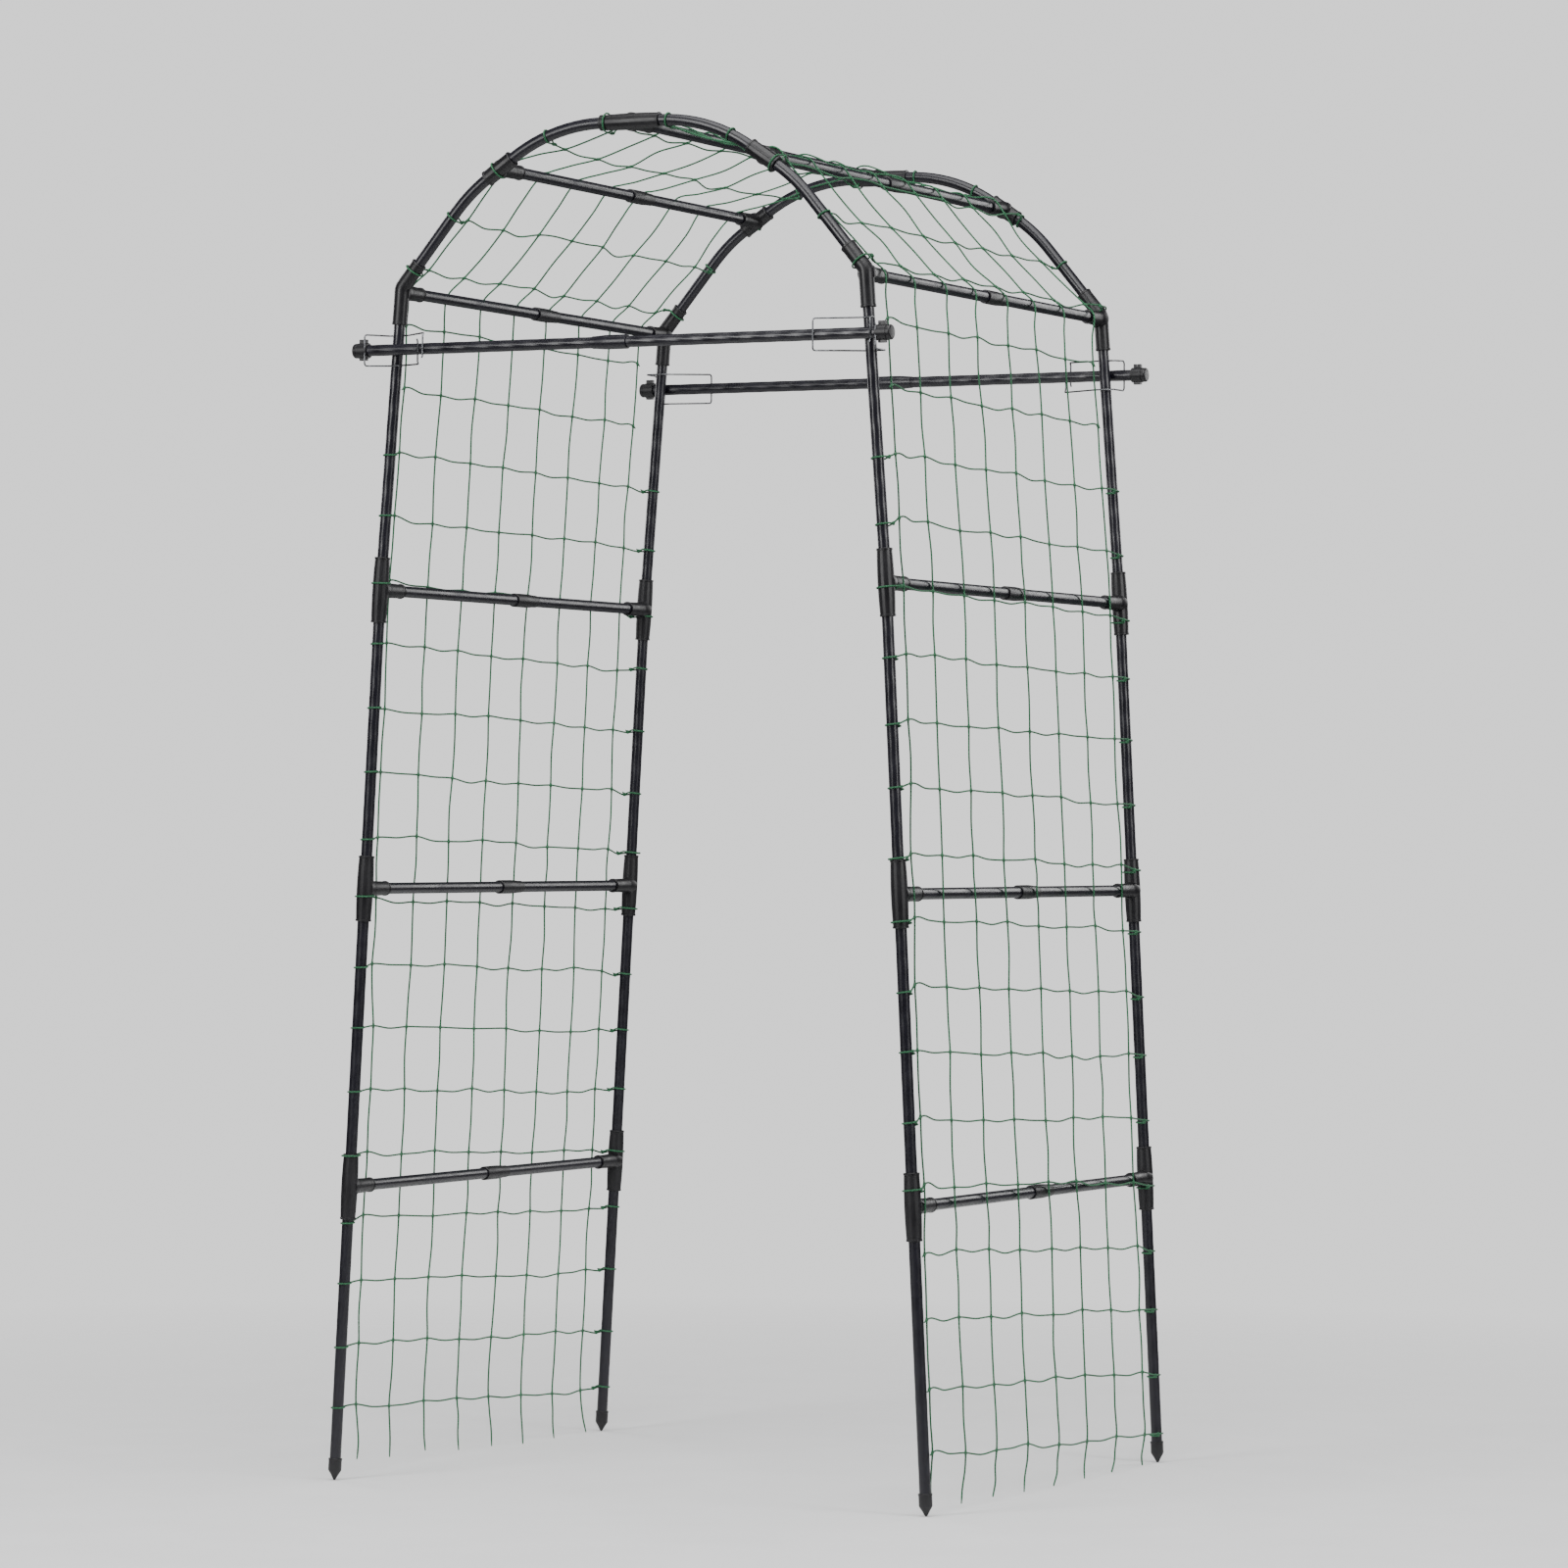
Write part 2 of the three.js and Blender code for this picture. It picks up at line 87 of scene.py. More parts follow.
SOCKET = millimetres(length=56, root=10.6, end=9.9, rim=10.6, floor=14)
ELBOW = millimetres(radius=10.5, rim=11.1, lower_arm=52, upper_arm=43)
ELBOW_SOCKET_LENGTH = 50 * MM
HAUNCH_TURN = math.radians(34)  # slope of the hoop at its haunch tees
FOOT_TURN = math.radians(50)  # slope of its straight feet
TUBE_STOP = 5 * MM  # from a hoop tee's centre to the end of each tube in it
HALF_GAP = 0.5 * MM  # from the middle of a joint to the end of each straight tube in it
ELBOW_STOP = 10 * MM

STAKE = millimetres(length=31, cone=14, radius=9.3, rim=9.7, tip=2)
STAKE_FLOOR = 15 * MM

COUPLER = millimetres(radius=10, thin=8.7, lip=-12, shoulder=20, end=52)
BAR_COUPLER = millimetres(radius=10, thin=8.7, lip=-16, shoulder=14, end=38)
COUPLER_BORE = 8.3 * MM

# Shallow ridges wind round the leg tubes and, deeper, round the crossbars.
RIDGES = 8
RIDGE_PITCH = 38 * MM  # along the tube, from one ridge to the next
LEG_RIDGE_DEPTH = 0.14 * MM
BAR_RIDGE_DEPTH = 0.26 * MM

CAP = millimetres(skirt=5, length=18, radius=10.8, wall=4, crown=2.4)
LUG = millimetres(start=-2, length=11, upper=5, lower=3, thickness=6)
LUG_NOTCH = millimetres(width=1.8, depth=3)

CLIP_WIRE_RADIUS = 1.15 * MM
CLIP_BEND = 3 * MM
CLIP_FREE_END = 13 * MM
CLIP_BAR_SPACING = 8 * MM
CROSSBAR_TRAVEL = (-90 * MM, 10 * MM)  # down and up, as the frame's slide joints allow
# As in the frame: the clips whose closed end is on the inner side of the leg, and those whose top
# wire is the one that passes in front of it.
CLOSED_INSIDE = ("front_right", "rear_left")
TOP_IN_FRONT = ("front_right", "rear_right")

STRAND_RADIUS = 1.25 * MM
KNOT_SWELL = 0.8  # share of the strand's radius that a knot adds
KNOT_HALF_LENGTH = 2.3 * MM
NET_GAP = 0.6 * MM  # between the twine and what it lies on
STRANDS_ACROSS = 8
STRAND_FIRST = millimetres(left=66, right=6)  # from the front leg axis to the first strand
STRAND_PITCH = millimetres(left=96.5, right=102.6)
ROW_PITCH = 90 * MM
BOTTOM_ROW = {"left": (101 * MM, 62 * MM), "right": (83 * MM, 43 * MM)}  # front and rear heights
TAIL_END = {"left": (28 * MM, -10 * MM), "right": (13 * MM, -17 * MM)}  # front and rear heights
TAIL_OFF_FLOOR = 2 * MM  # the loose ends are cut here where they would reach the floor
UNTIED_ROWS = 4  # the lowest rows at the front right leg end short of it
ROOF_SAG = 9 * MM

random.seed(763)


# ---- lines ----

def unit(vector):
    return vector / np.linalg.norm(vector)


def smooth_line(points, steps=8):
    """A smooth curve through the points, with `steps` short lines to each stretch."""
    places = np.asarray(points, float)
    lengths = np.linalg.norm(np.diff(places, axis=0), axis=1)[:, None]
    slopes = np.diff(places, axis=0) / lengths
    inner = (slopes[:-1] * lengths[1:] + slopes[1:] * lengths[:-1]) / (lengths[:-1] + lengths[1:])
    tangents = np.vstack([slopes[:1], inner, slopes[-1:]])
    t = np.linspace(0, 1, steps, endpoint=False)[:, None]
    stretches = []
    for index, length in enumerate(lengths):
        start, end = places[index], places[index + 1]
        leaving, arriving = tangents[index] * length, tangents[index + 1] * length
        stretches.append(
            (2 * t**3 - 3 * t**2 + 1) * start
            + (t**3 - 2 * t**2 + t) * leaving
            + (3 * t**2 - 2 * t**3) * end
            + (t**3 - t**2) * arriving
        )
    return np.vstack([*stretches, places[-1:]])


def distances_along(line):
    return np.concatenate([[0], np.cumsum(np.linalg.norm(np.diff(line, axis=0), axis=1))])


def at_distances(line, distances):
    """The points that lie at these distances along a line."""
    travelled = distances_along(line)
    return np.stack([np.interp(distances, travelled, line[:, axis]) for axis in range(3)], axis=1)


def rounded_line(points, radius, steps=6):
    """Straight lines with their corners rounded, for bent wire."""
    places = [np.asarray(point, float) for point in points]
    line = [places[0]]
    for before, corner, after in zip(places, places[1:], places[2:]):
        back, ahead = before - corner, after - corner
        reach = min(radius, np.linalg.norm(back) / 2, np.linalg.norm(ahead) / 2)
        start = corner + unit(back) * reach
        end = corner + unit(ahead) * reach
        for t in np.linspace(0, 1, steps):
            line.append((1 - t) ** 2 * start + 2 * t * (1 - t) * corner + t**2 * end)
    line.append(places[-1])
    kept = [line[0]]
    for point in line[1:]:
        if np.linalg.norm(point - kept[-1]) > 0.05 * MM:
            kept.append(point)
    return np.array(kept)


# ---- meshes ----

def ring_faces(rings, sides, closed=False):
    """Faces between rings of vertices. The ends are filled, or the last ring meets the first."""
    faces = []
    for ring in range(rings if closed else rings - 1):
        low, high = ring * sides, (ring + 1) % rings * sides
        for side in range(sides):
            following = (side + 1) % sides
            faces.append((low + side, low + following, high + following, high + side))
    if not closed:
        faces.append(tuple(reversed(range(sides))))
        faces.append(tuple(range((rings - 1) * sides, rings * sides)))
    return faces


def sweep(path, radii, sides):
    """Rings round a path, each in the plane that halves its bend. radii has one for each ring, or
    for each ring and side. Returns vertices, faces and places on the straightened tube."""
    path = np.asarray(path, float)
    headings = np.array([unit(step) for step in np.diff(path, axis=0)])
    helper = np.array([0.0, 0.0, 1.0]) if abs(headings[0][2]) < 0.9 else np.array([1.0, 0.0, 0.0])
    normal = unit(np.cross(headings[0], helper))
    angles = 2 * np.pi * np.arange(sides) / sides
    circle = np.stack([np.cos(angles), np.sin(angles)], axis=1)
    if np.ndim(radii) < 2:
        radii = np.asarray(radii, float).reshape(-1, 1)
    radii = np.broadcast_to(radii, (len(path), sides))
    travelled = distances_along(path)
    vertices, tube = [], []
    for ring, centre in enumerate(path):
        heading = headings[max(ring - 1, 0)]
        following = headings[min(ring, len(headings) - 1)]
        normal = unit(normal - heading * (normal @ heading))
        across = np.cross(heading, normal)
        spokes = circle[:, :1] * normal + circle[:, 1:] * across
        spokes = spokes * radii[ring][:, None]
        facing = unit(heading + following)
        spokes = spokes - np.outer(spokes @ facing / (heading @ facing), heading)
        vertices.append(centre + spokes)
        along = np.full((sides, 1), travelled[ring])
        tube.append(np.hstack([circle * TUBE_RADIUS, along]))
    return np.vstack(vertices), ring_faces(len(path), sides), np.vstack(tube)


def turned(profile, sides=56, shape=None, closed=False):
    """A solid turned round Z from (radius, height) pairs; shape(angles, height) scales the radius.
    A closed profile is the section of a ring."""
    angles = 2 * np.pi * np.arange(sides) / sides
    vertices = []
    for radius, height in profile:
        spokes = radius * (shape(angles, height) if shape else np.ones(sides))
        ring = [spokes * np.cos(angles), spokes * np.sin(angles), np.full(sides, height)]
        vertices.append(np.stack(ring, axis=1))
    vertices = np.vstack(vertices)
    return vertices, ring_faces(len(profile), sides, closed), vertices.copy()


def block(low, high):
    """A box between two corners."""
    vertices = np.array(list(itertools.product(*zip(low, high))), float)
    faces = [(0, 1, 3, 2), (4, 6, 7, 5), (0, 4, 5, 1), (2, 3, 7, 6), (0, 2, 6, 4), (1, 5, 7, 3)]
    return vertices, faces, vertices.copy()


def moved(shape, matrix):
    vertices, faces, tube = shape
    rotation = np.array(matrix.to_3x3())
    return vertices @ rotation.T + np.array(matrix.translation), faces, tube


def joined(shapes):
    """Several shapes as one, side by side."""
    vertices, faces, tube, start = [], [], [], 0
    for shape_vertices, shape_faces, shape_tube in shapes:
        vertices.append(shape_vertices)
        faces.extend(tuple(corner + start for corner in face) for face in shape_faces)
        tube.append(shape_tube)
        start += len(shape_vertices)
    return np.vstack(vertices), faces, np.vstack(tube)


def to_mesh(name, shape, crease=30):
    vertices, faces, tube = shape
    mesh = bpy.data.meshes.new(name)
    mesh.from_pydata(vertices.tolist(), [], faces)
    attribute = mesh.attributes.new("tube", "FLOAT_VECTOR", "POINT")
    attribute.data.foreach_set("vector", tube.astype(np.float32).ravel())
    return shaded(mesh, crease)


def shaded(mesh, crease=30):
    """Smooth, with the edges that turn more than `crease` degrees kept sharp."""
    mesh.polygons.foreach_set("use_smooth", [True] * len(mesh.polygons))
    mesh.set_sharp_from_angle(angle=math.radians(crease))
    mesh.update()
    return mesh


def placed(name, data):
    """A new object in the scene."""
    made = bpy.data.objects.new(name, data)
    bpy.context.scene.collection.objects.link(made)
    return made


def carved(name, body, joins=(), cuts=()):
    """One mesh: a shape with others joined to it, and then others cut out of it."""
    objects = [placed("carving", to_mesh("carving", shape)) for shape in (body, *joins, *cuts)]
    operations = ["UNION"] * len(joins) + ["DIFFERENCE"] * len(cuts)
    for other, operation in zip(objects[1:], operations):
        modifier = objects[0].modifiers.new(operation, "BOOLEAN")
        modifier.operation = operation
        modifier.solver = "EXACT"
        modifier.object = other
    depsgraph = bpy.context.evaluated_depsgraph_get()
    mesh = bpy.data.meshes.new_from_object(objects[0].evaluated_get(depsgraph))
    mesh.name = name
    for used in objects:
        bpy.data.objects.remove(used)
    return shaded(mesh)


def pointing(direction, level, origin=(0, 0, 0)):
    """The matrix that turns +Z to `direction` and +Y to `level`, and moves to `origin`."""
    z = Vector(direction).normalized()
    x = Vector(level).cross(z).normalized()
    y = z.cross(x)
    turn = Matrix((x, y, z)).transposed().to_4x4()
    return Matrix.Translation(Vector(origin)) @ turn


def add_piece(name, mesh, material, body, stands_for, matrix=None):
    """Adds a piece that stands for CAD nodes and moves with a body."""
    if not mesh.materials:
        mesh.materials.append(material)
    piece = placed(name, mesh)
    if matrix is not None:
        piece.matrix_world = matrix
    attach(piece, body)
    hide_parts(*stands_for)


# ---- materials ----

def node(tree, kind, inputs=None, **settings):
    """Adds a shader node. An input is given a value, or linked if it is another node's output."""
    made = tree.nodes.new(kind)
    for key, value in settings.items():
        setattr(made, key, value)
    for key, value in (inputs or {}).items():
        if isinstance(value, bpy.types.NodeSocket):
            tree.links.new(value, made.inputs[key])
        else:
            made.inputs[key].default_value = value
    return made


def surface(name, **settings):
    """A new material: its node tree, and its Principled shader with these constant values."""
    material = bpy.data.materials.new(name)
    material.use_nodes = True
    tree = material.node_tree
    shader = tree.nodes["Principled BSDF"]
    for key, value in settings.items():
        shader.inputs[key.replace("_", " ")].default_value = value
    return material, tree, shader


def tube_place(tree):
    """The place on the straightened tube, so that marks follow a bent one."""
    return node(tree, "ShaderNodeAttribute", attribute_name="tube").outputs["Vector"]


def noise(tree, place, scale, detail=3.0, roughness=0.55):
    made = node(tree, "ShaderNodeTexNoise",
                {"Vector": place, "Scale": scale, "Detail": detail, "Roughness": roughness})
    return made.outputs["Fac"]


def stretched(tree, place, scale):
    made = node(tree, "ShaderNodeVectorMath", {0: place, 1: scale}, operation="MULTIPLY")
    return made.outputs["Vector"]


def ranged(tree, value, low, high, from_low=0.3, from_high=0.7):
    made = node(tree, "ShaderNodeMapRange",
                {"Value": value, "From Min": from_low, "From Max": from_high,
                 "To Min": low, "To Max": high})
    return made.outputs["Result"]


def blended(tree, share, first, second):
    """Mixes two colours, each plain or from a node. Mix's colour sockets go by number."""
    colours = [c if isinstance(c, bpy.types.NodeSocket) else (*c, 1) for c in (first, second)]
    inputs = {"Factor": share, 6: colours[0], 7: colours[1]}
    return node(tree, "ShaderNodeMix", inputs, data_type="RGBA").outputs[2]


def raised(tree, height, strength, distance, normal=None):
    inputs = {"Height": height, "Strength": strength, "Distance": distance}
    if normal is not None:
        inputs["Normal"] = normal
    return node(tree, "ShaderNodeBump", inputs).outputs["Normal"]


def coated_steel():
    """Semi-gloss plastic skin on drawn tube: faint lengthwise drawing lines and orange peel."""
    material, tree, shader = surface("coated_steel", Specular_IOR_Level=0.5)
    place = tube_place(tree)
    lines = noise(tree, stretched(tree, place, (1, 1, 0.02)), 900, 2)
    clouds = noise(tree, place, 45, 4)
    peel = noise(tree, place, 1500, 2)
    scuffs = noise(tree, stretched(tree, place, (1, 1, 0.3)), 260, 6, 0.7)
    skin = blended(tree, ranged(tree, clouds, 0, 1), (0.0045, 0.004, 0.0075), (0.008, 0.0075, 0.0135))
    worn = blended(tree, ranged(tree, scuffs, 0, 0.4, 0.64, 0.8), skin, (0.03, 0.029, 0.038))
    tree.links.new(worn, shader.inputs["Base Color"])
    tree.links.new(ranged(tree, clouds, 0.27, 0.4), shader.inputs["Roughness"])
    grooved = raised(tree, lines, 0.08, 0.25 * MM)
    tree.links.new(raised(tree, peel, 0.04, 0.2 * MM, grooved), shader.inputs["Normal"])
    return material


def black_plastic():
    """Satin moulding: fine spark-eroded grain, slow flow marks and dust in the grain."""
    material, tree, shader = surface("black_plastic", Specular_IOR_Level=0.45)
    place = node(tree, "ShaderNodeTexCoord").outputs["Object"]
    grain = noise(tree, place, 1900, 2)
    flow = noise(tree, stretched(tree, place, (1, 1, 0.25)), 120, 4)
    dust = noise(tree, place, 420, 5, 0.7)
    skin = blended(tree, ranged(tree, flow, 0, 1), (0.0045, 0.0042, 0.0055), (0.008, 0.0077, 0.0095))
    dusty = blended(tree, ranged(tree, dust, 0, 0.35, 0.6, 0.8), skin, (0.032, 0.031, 0.033))
    tree.links.new(dusty, shader.inputs["Base Color"])
    tree.links.new(ranged(tree, flow, 0.36, 0.5), shader.inputs["Roughness"])
    tree.links.new(raised(tree, grain, 0.12, 0.2 * MM), shader.inputs["Normal"])
    return material


def zinc_wire():
    """Galvanised spring wire: bright zinc with duller patches and faint drawing lines."""
    material, tree, shader = surface("zinc_wire", Metallic=1.0)
    place = tube_place(tree)
    patches = noise(tree, place, 220, 4)
    lines = noise(tree, stretched(tree, place, (1, 1, 0.05)), 1500, 2)
    zinc = blended(tree, ranged(tree, patches, 0, 1), (0.07, 0.072, 0.078), (0.22, 0.225, 0.235))
    tree.links.new(zinc, shader.inputs["Base Color"])
    tree.links.new(ranged(tree, patches, 0.42, 0.24), shader.inputs["Roughness"])
    tree.links.new(raised(tree, lines, 0.15, 0.1 * MM), shader.inputs["Normal"])
    return material


def green_twine():
    """Twine of two plies: grooves wind round the strand, with painted shade darkening them, and its
    green varies along it.
    """
    plies, lay = 2, 5 * MM
    dark, light = (0.013, 0.095, 0.036), (0.032, 0.175, 0.075)
    material, tree, shader = surface("green_twine", Roughness=0.55, Specular_IOR_Level=0.4)
    place = tube_place(tree)
    parts = node(tree, "ShaderNodeSeparateXYZ", {0: place}).outputs
    angle = node(tree, "ShaderNodeMath", {0: parts["Y"], 1: parts["X"]}, operation="ARCTAN2")
    wound = node(tree, "ShaderNodeMath", {0: parts["Z"], 1: 2 * math.pi / lay}, operation="MULTIPLY")
    turns = node(tree, "ShaderNodeMath", {0: angle.outputs[0], 1: plies, 2: wound.outputs[0]},
                 operation="MULTIPLY_ADD")
    ridge = node(tree, "ShaderNodeMath", {0: turns.outputs[0]}, operation="SINE").outputs[0]
    fibres = noise(tree, place, 900, 3)
    fading = noise(tree, place, 14, 3)
    green = blended(tree, ranged(tree, fading, 0, 1), dark, light)
    # Painted shade: the grooves between the plies are painted darker than the green, besides being
    # bumped.
    groove = tuple(value * 0.45 for value in dark)
    green_with_painted_groove_shade = blended(tree, ranged(tree, ridge, 0.6, 0, -1, 0.3), green, groove)
    tree.links.new(green_with_painted_groove_shade, shader.inputs["Base Color"])
    bumpy = raised(tree, fibres, 0.3, 0.15 * MM)
    tree.links.new(raised(tree, ridge, 0.6, 0.3 * MM, bumpy), shader.inputs["Normal"])
    return material


STEEL = coated_steel()
PLASTIC = black_plastic()
ZINC = zinc_wire()
NET_TWINE = green_twine()


# ---- places, from the frame ----

def centre(name):
    low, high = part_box(name)
    return (low + high) / 2


def ring_centres(name, along):
    """The centres of a CAD tube's rings, in order along a direction."""
    gap = 3 * MM
    places = np.array([vertex.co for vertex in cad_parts[name].data.vertices], float)
    places = np.unique(np.round(places, 6), axis=0)
    progress = places @ np.array(along, float)
    order = np.argsort(progress)
    breaks = np.nonzero(np.diff(progress[order]) > gap)[0] + 1
    return [places[group].mean(axis=0) for group in np.split(order, breaks)]


def leg_line(label):
    """A leg's axis: its foot, its slight bend at the high tee, and its top."""
    return ring_centres(f"{label}_leg_pole", (0, 0, 1))


def on_leg(label, height):
    line = np.array(leg_line(label))
    return np.array([np.interp(height, line[:, 2], line[:, axis]) for axis in range(3)])


def inwards(row):
    """From an end frame towards the other one."""
    return np.array([0.0, -SIGN[row], 0.0])


# ---- tubes ----

def tube_shape(line, sides=40, radius=TUBE_RADIUS):
    return sweep(line, [radius] * len(line), sides)


def twisted_tube(ends, depth):
    """A straight tube with shallow ridges that wind round it."""
    sides = 8 * RIDGES
    ring_spacing = 4 * MM
    length = np.linalg.norm(ends[1] - ends[0])
    stations = np.linspace(0, length, round(length / ring_spacing))
    angles = 2 * np.pi * np.arange(sides) / sides
    phase = RIDGES * angles[None, :] - 2 * np.pi * stations[:, None] / RIDGE_PITCH
    radii = TUBE_RADIUS - depth * (1 - np.cos(phase)) / 2
    return sweep(at_distances(np.array(ends), stations), radii, sides)


def add_leg_tubes(label, side):
    line = np.array(leg_line(label))
    heights = [centre(f"{side}_{level}_rung").z for level in LEVELS]
    stops = [line[0][2], *heights, line[-1][2]]
    for number, (low, high) in enumerate(zip(stops, stops[1:]), start=1):
        ends = [on_leg(label, low + HALF_GAP), on_leg(label, high - HALF_GAP)]
        name = f"{label}_leg_tube_{number}"
        mesh = to_mesh(name, twisted_tube(ends, LEG_RIDGE_DEPTH))
        add_piece(name, mesh, STEEL, FIXED, [f"{label}_leg_pole"])


def arc(start, radius, turn_from, turn_to, steps=12):
    """Points of an arc in the hoop's plane, from a slope to a steeper one."""
    turns = np.linspace(turn_from, turn_to, steps)
    x = start[0] + radius * (np.sin(turns) - math.sin(turn_from))
    z = start[1] - radius * (math.cos(turn_from) - np.cos(turns))
    return list(np.stack([x, z], axis=1))


def slope(turn):
    return np.array([math.cos(turn), -math.sin(turn)])


def hoop_halves():
    """The right half of a hoop as (x, z): the upper tube, and the lower one down to the leg's axis.
    A flat crown, an arc, the straight haunch, an arc again and a straight foot."""
    crown, haunch = centre("crown_rung"), centre("right_haunch_rung")
    haunch = np.array([haunch.x, haunch.z])
    haunch_start = haunch - slope(HAUNCH_TURN) * HAUNCH_SLEEVE["arm"]
    haunch_end = haunch + slope(HAUNCH_TURN) * HAUNCH_SLEEVE["arm"]
    radius = (haunch_start[0] - SLEEVE["arm"]) / math.sin(HAUNCH_TURN)
    upper = [np.array([TUBE_STOP, crown.z])]
    upper += arc((SLEEVE["arm"], crown.z), radius, 0, HAUNCH_TURN)
    upper.append(haunch - slope(HAUNCH_TURN) * TUBE_STOP)
    lower = [haunch + slope(HAUNCH_TURN) * TUBE_STOP]
    lower += arc(haunch_end, radius, HAUNCH_TURN, FOOT_TURN)
    below, top = leg_line("front_right")[1:]
    leg = np.array([top[0] - below[0], top[2] - below[2]])
    foot = slope(FOOT_TURN)
    across = np.array([top[0], top[2]]) - lower[-1]
    reach = (across[0] * leg[1] - across[1] * leg[0]) / (foot[0] * leg[1] - foot[1] * leg[0])
    lower.append(lower[-1] + foot * reach)
    return upper, lower


def hoop_line(label, part):
    """The axis of one of a hoop's tubes; a lower one runs on to the corner of its elbow."""
    side, depth = SIGN[label.split("_")[1]], leg_line(label)[0][1]
    upper, lower = hoop_halves()
    return [np.array([side * x, depth, z]) for x, z in (upper if part == "upper" else lower)]


def add_hoop_tubes(label):
    for part in ("lower", "upper"):
        node_name = f"{label}_{part}_hoop_tube"
        line = hoop_line(label, part)
        if part == "lower":
            line[-1] = line[-1] + unit(line[-2] - line[-1]) * ELBOW_STOP
        mesh = to_mesh(f"{node_name}_bent", tube_shape(line))
        add_piece(mesh.name, mesh, STEEL, FIXED, [node_name])


def coupler_shape(sizes):
    """A sleeve with a plain lip at one end and a long taper at the other, round Z."""
    lip, end, shoulder = sizes["lip"], sizes["end"], sizes["shoulder"]
    profile = [
        (COUPLER_BORE, lip),
        (sizes["radius"] - EDGE_ROUND, lip),
        (sizes["radius"], lip + EDGE_ROUND),
        (sizes["radius"], shoulder),
    ]
    steps = 8
    for step in range(1, steps + 1):
        share = (1 - math.cos(math.pi * step / steps)) / 2
        radius = sizes["radius"] + (sizes["thin"] - sizes["radius"]) * share
        profile.append((radius, shoulder + (end - shoulder) * step / steps))
    profile.append((COUPLER_BORE, end))
    return turned(profile, sides=40, closed=True)


def add_rungs():
    names = [f"{side}_{level}" for side in SIDES for level in (*LEVELS, "shoulder", "haunch")]
    coupler = to_mesh("rung_coupler", coupler_shape(COUPLER))
    for label in [*names, "crown"]:
        rung = f"{label}_rung"
        low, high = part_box(rung)
        middle = (low + high) / 2
        for end, place in (("front", low.y), ("rear", high.y)):
            name = f"{rung}_{end}_tube"
            joint = math.copysign(HALF_GAP, place)
            stations = np.linspace(place, joint, 9)
            path = [(middle.x, y, middle.z) for y in stations]
            add_piece(name, to_mesh(name, tube_shape(path)), STEEL, FIXED, [rung])
        matrix = pointing((0, 1, 0), (0, 0, 1), middle)
        add_piece(f"{rung}_coupler", coupler, PLASTIC, FIXED, [rung], matrix)


def add_crossbar(row):
    name, body = f"{row}_crossbar", f"{row}_crossbar_set"
    low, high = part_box(name)
    middle = (low + high) / 2
    for side in SIDES:
        end = low.x if side == "left" else high.x
        line = np.array([(end, middle.y, middle.z), (middle.x, middle.y, middle.z)])
        line[1] += (HALF_GAP * SIGN[side], 0, 0)
        mesh = to_mesh(f"{name}_{side}_tube", twisted_tube(line, BAR_RIDGE_DEPTH))
        add_piece(mesh.name, mesh, STEEL, body, [name])
    matrix = pointing((SIGN[row], 0, 0), (0, 0, 1), middle)
    coupler = to_mesh(f"{name}_coupler", coupler_shape(BAR_COUPLER))
    add_piece(f"{name}_coupler", coupler, STEEL, body, [name], matrix)


# ---- moulded connectors ----

def faceted(arm):
    """Flat facets along a sleeve, which fade out into the round rims at its ends."""
    pitch = 2 * math.pi / SLEEVE_FACETS

    def shape(angles, height):
        within = np.mod(angles, pitch) - pitch / 2
        flat = math.cos(pitch / 2) / np.cos(within)
        share = min(max((arm - RIM_LENGTH - abs(height)) / (3 * MM), 0), 1)
        return 1 - share * (1 - flat)

    return shape


def sleeve_shape(sizes):
    """A tee's sleeve round Z: widest in the middle, with a rim at each end."""
    arm, end, waist, rim = sizes["arm"], sizes["end"], sizes["waist"], sizes["rim"]
    half = [(rim - EDGE_ROUND, arm), (rim, arm - EDGE_ROUND), (rim, arm - RIM_LENGTH)]
    neck = arm - RIM_LENGTH - EDGE_ROUND
    steps = 6
    for step in range(steps + 1):
        height = neck * (1 - step / steps)
        half.append((end + (waist - end) * (1 - (height / neck) ** 2), height))
    profile = [(radius, -height) for radius, height in half] + half[-2::-1]
    return turned(profile, SLEEVE_FACETS * 4, faceted(arm))


def socket_shape(length, origin=(0, 0, 0)):
    """A rung's socket along +Y: flared at its root and rimmed at its mouth."""
    root, end, rim = SOCKET["root"], SOCKET["end"], SOCKET["rim"]
    flare, flare_end = 2.4 * MM, 17 * MM
    profile = [(root + flare, 0), (root + flare, 9 * MM), (root + flare / 3, 13 * MM), (root, flare_end)]
    profile += [
        (end, length - RIM_LENGTH - EDGE_ROUND),
        (rim, length - RIM_LENGTH),
        (rim, length - EDGE_ROUND),
        (rim - EDGE_ROUND, length),
    ]
    return moved(turned(profile, 40), pointing((0, 1, 0), (0, 0, -1), origin))


def bore_shape(direction, start, length, origin=(0, 0, 0)):
    cutter = turned([(BORE_RADIUS, start), (BORE_RADIUS, length + 5 * MM)], 40)
    helper = (0, 1, 0) if abs(Vector(direction).normalized().y) < 0.9 else (0, 0, 1)
    return moved(cutter, pointing(direction, helper, origin))


def tee_mesh(name, sizes):
    cuts = [
        bore_shape((0, 0, 1), -sizes["arm"] - 5 * MM, sizes["arm"]),
        bore_shape((0, 1, 0), SOCKET["floor"], SOCKET["length"]),
    ]
    return carved(name, sleeve_shape(sizes), [socket_shape(SOCKET["length"])], cuts)


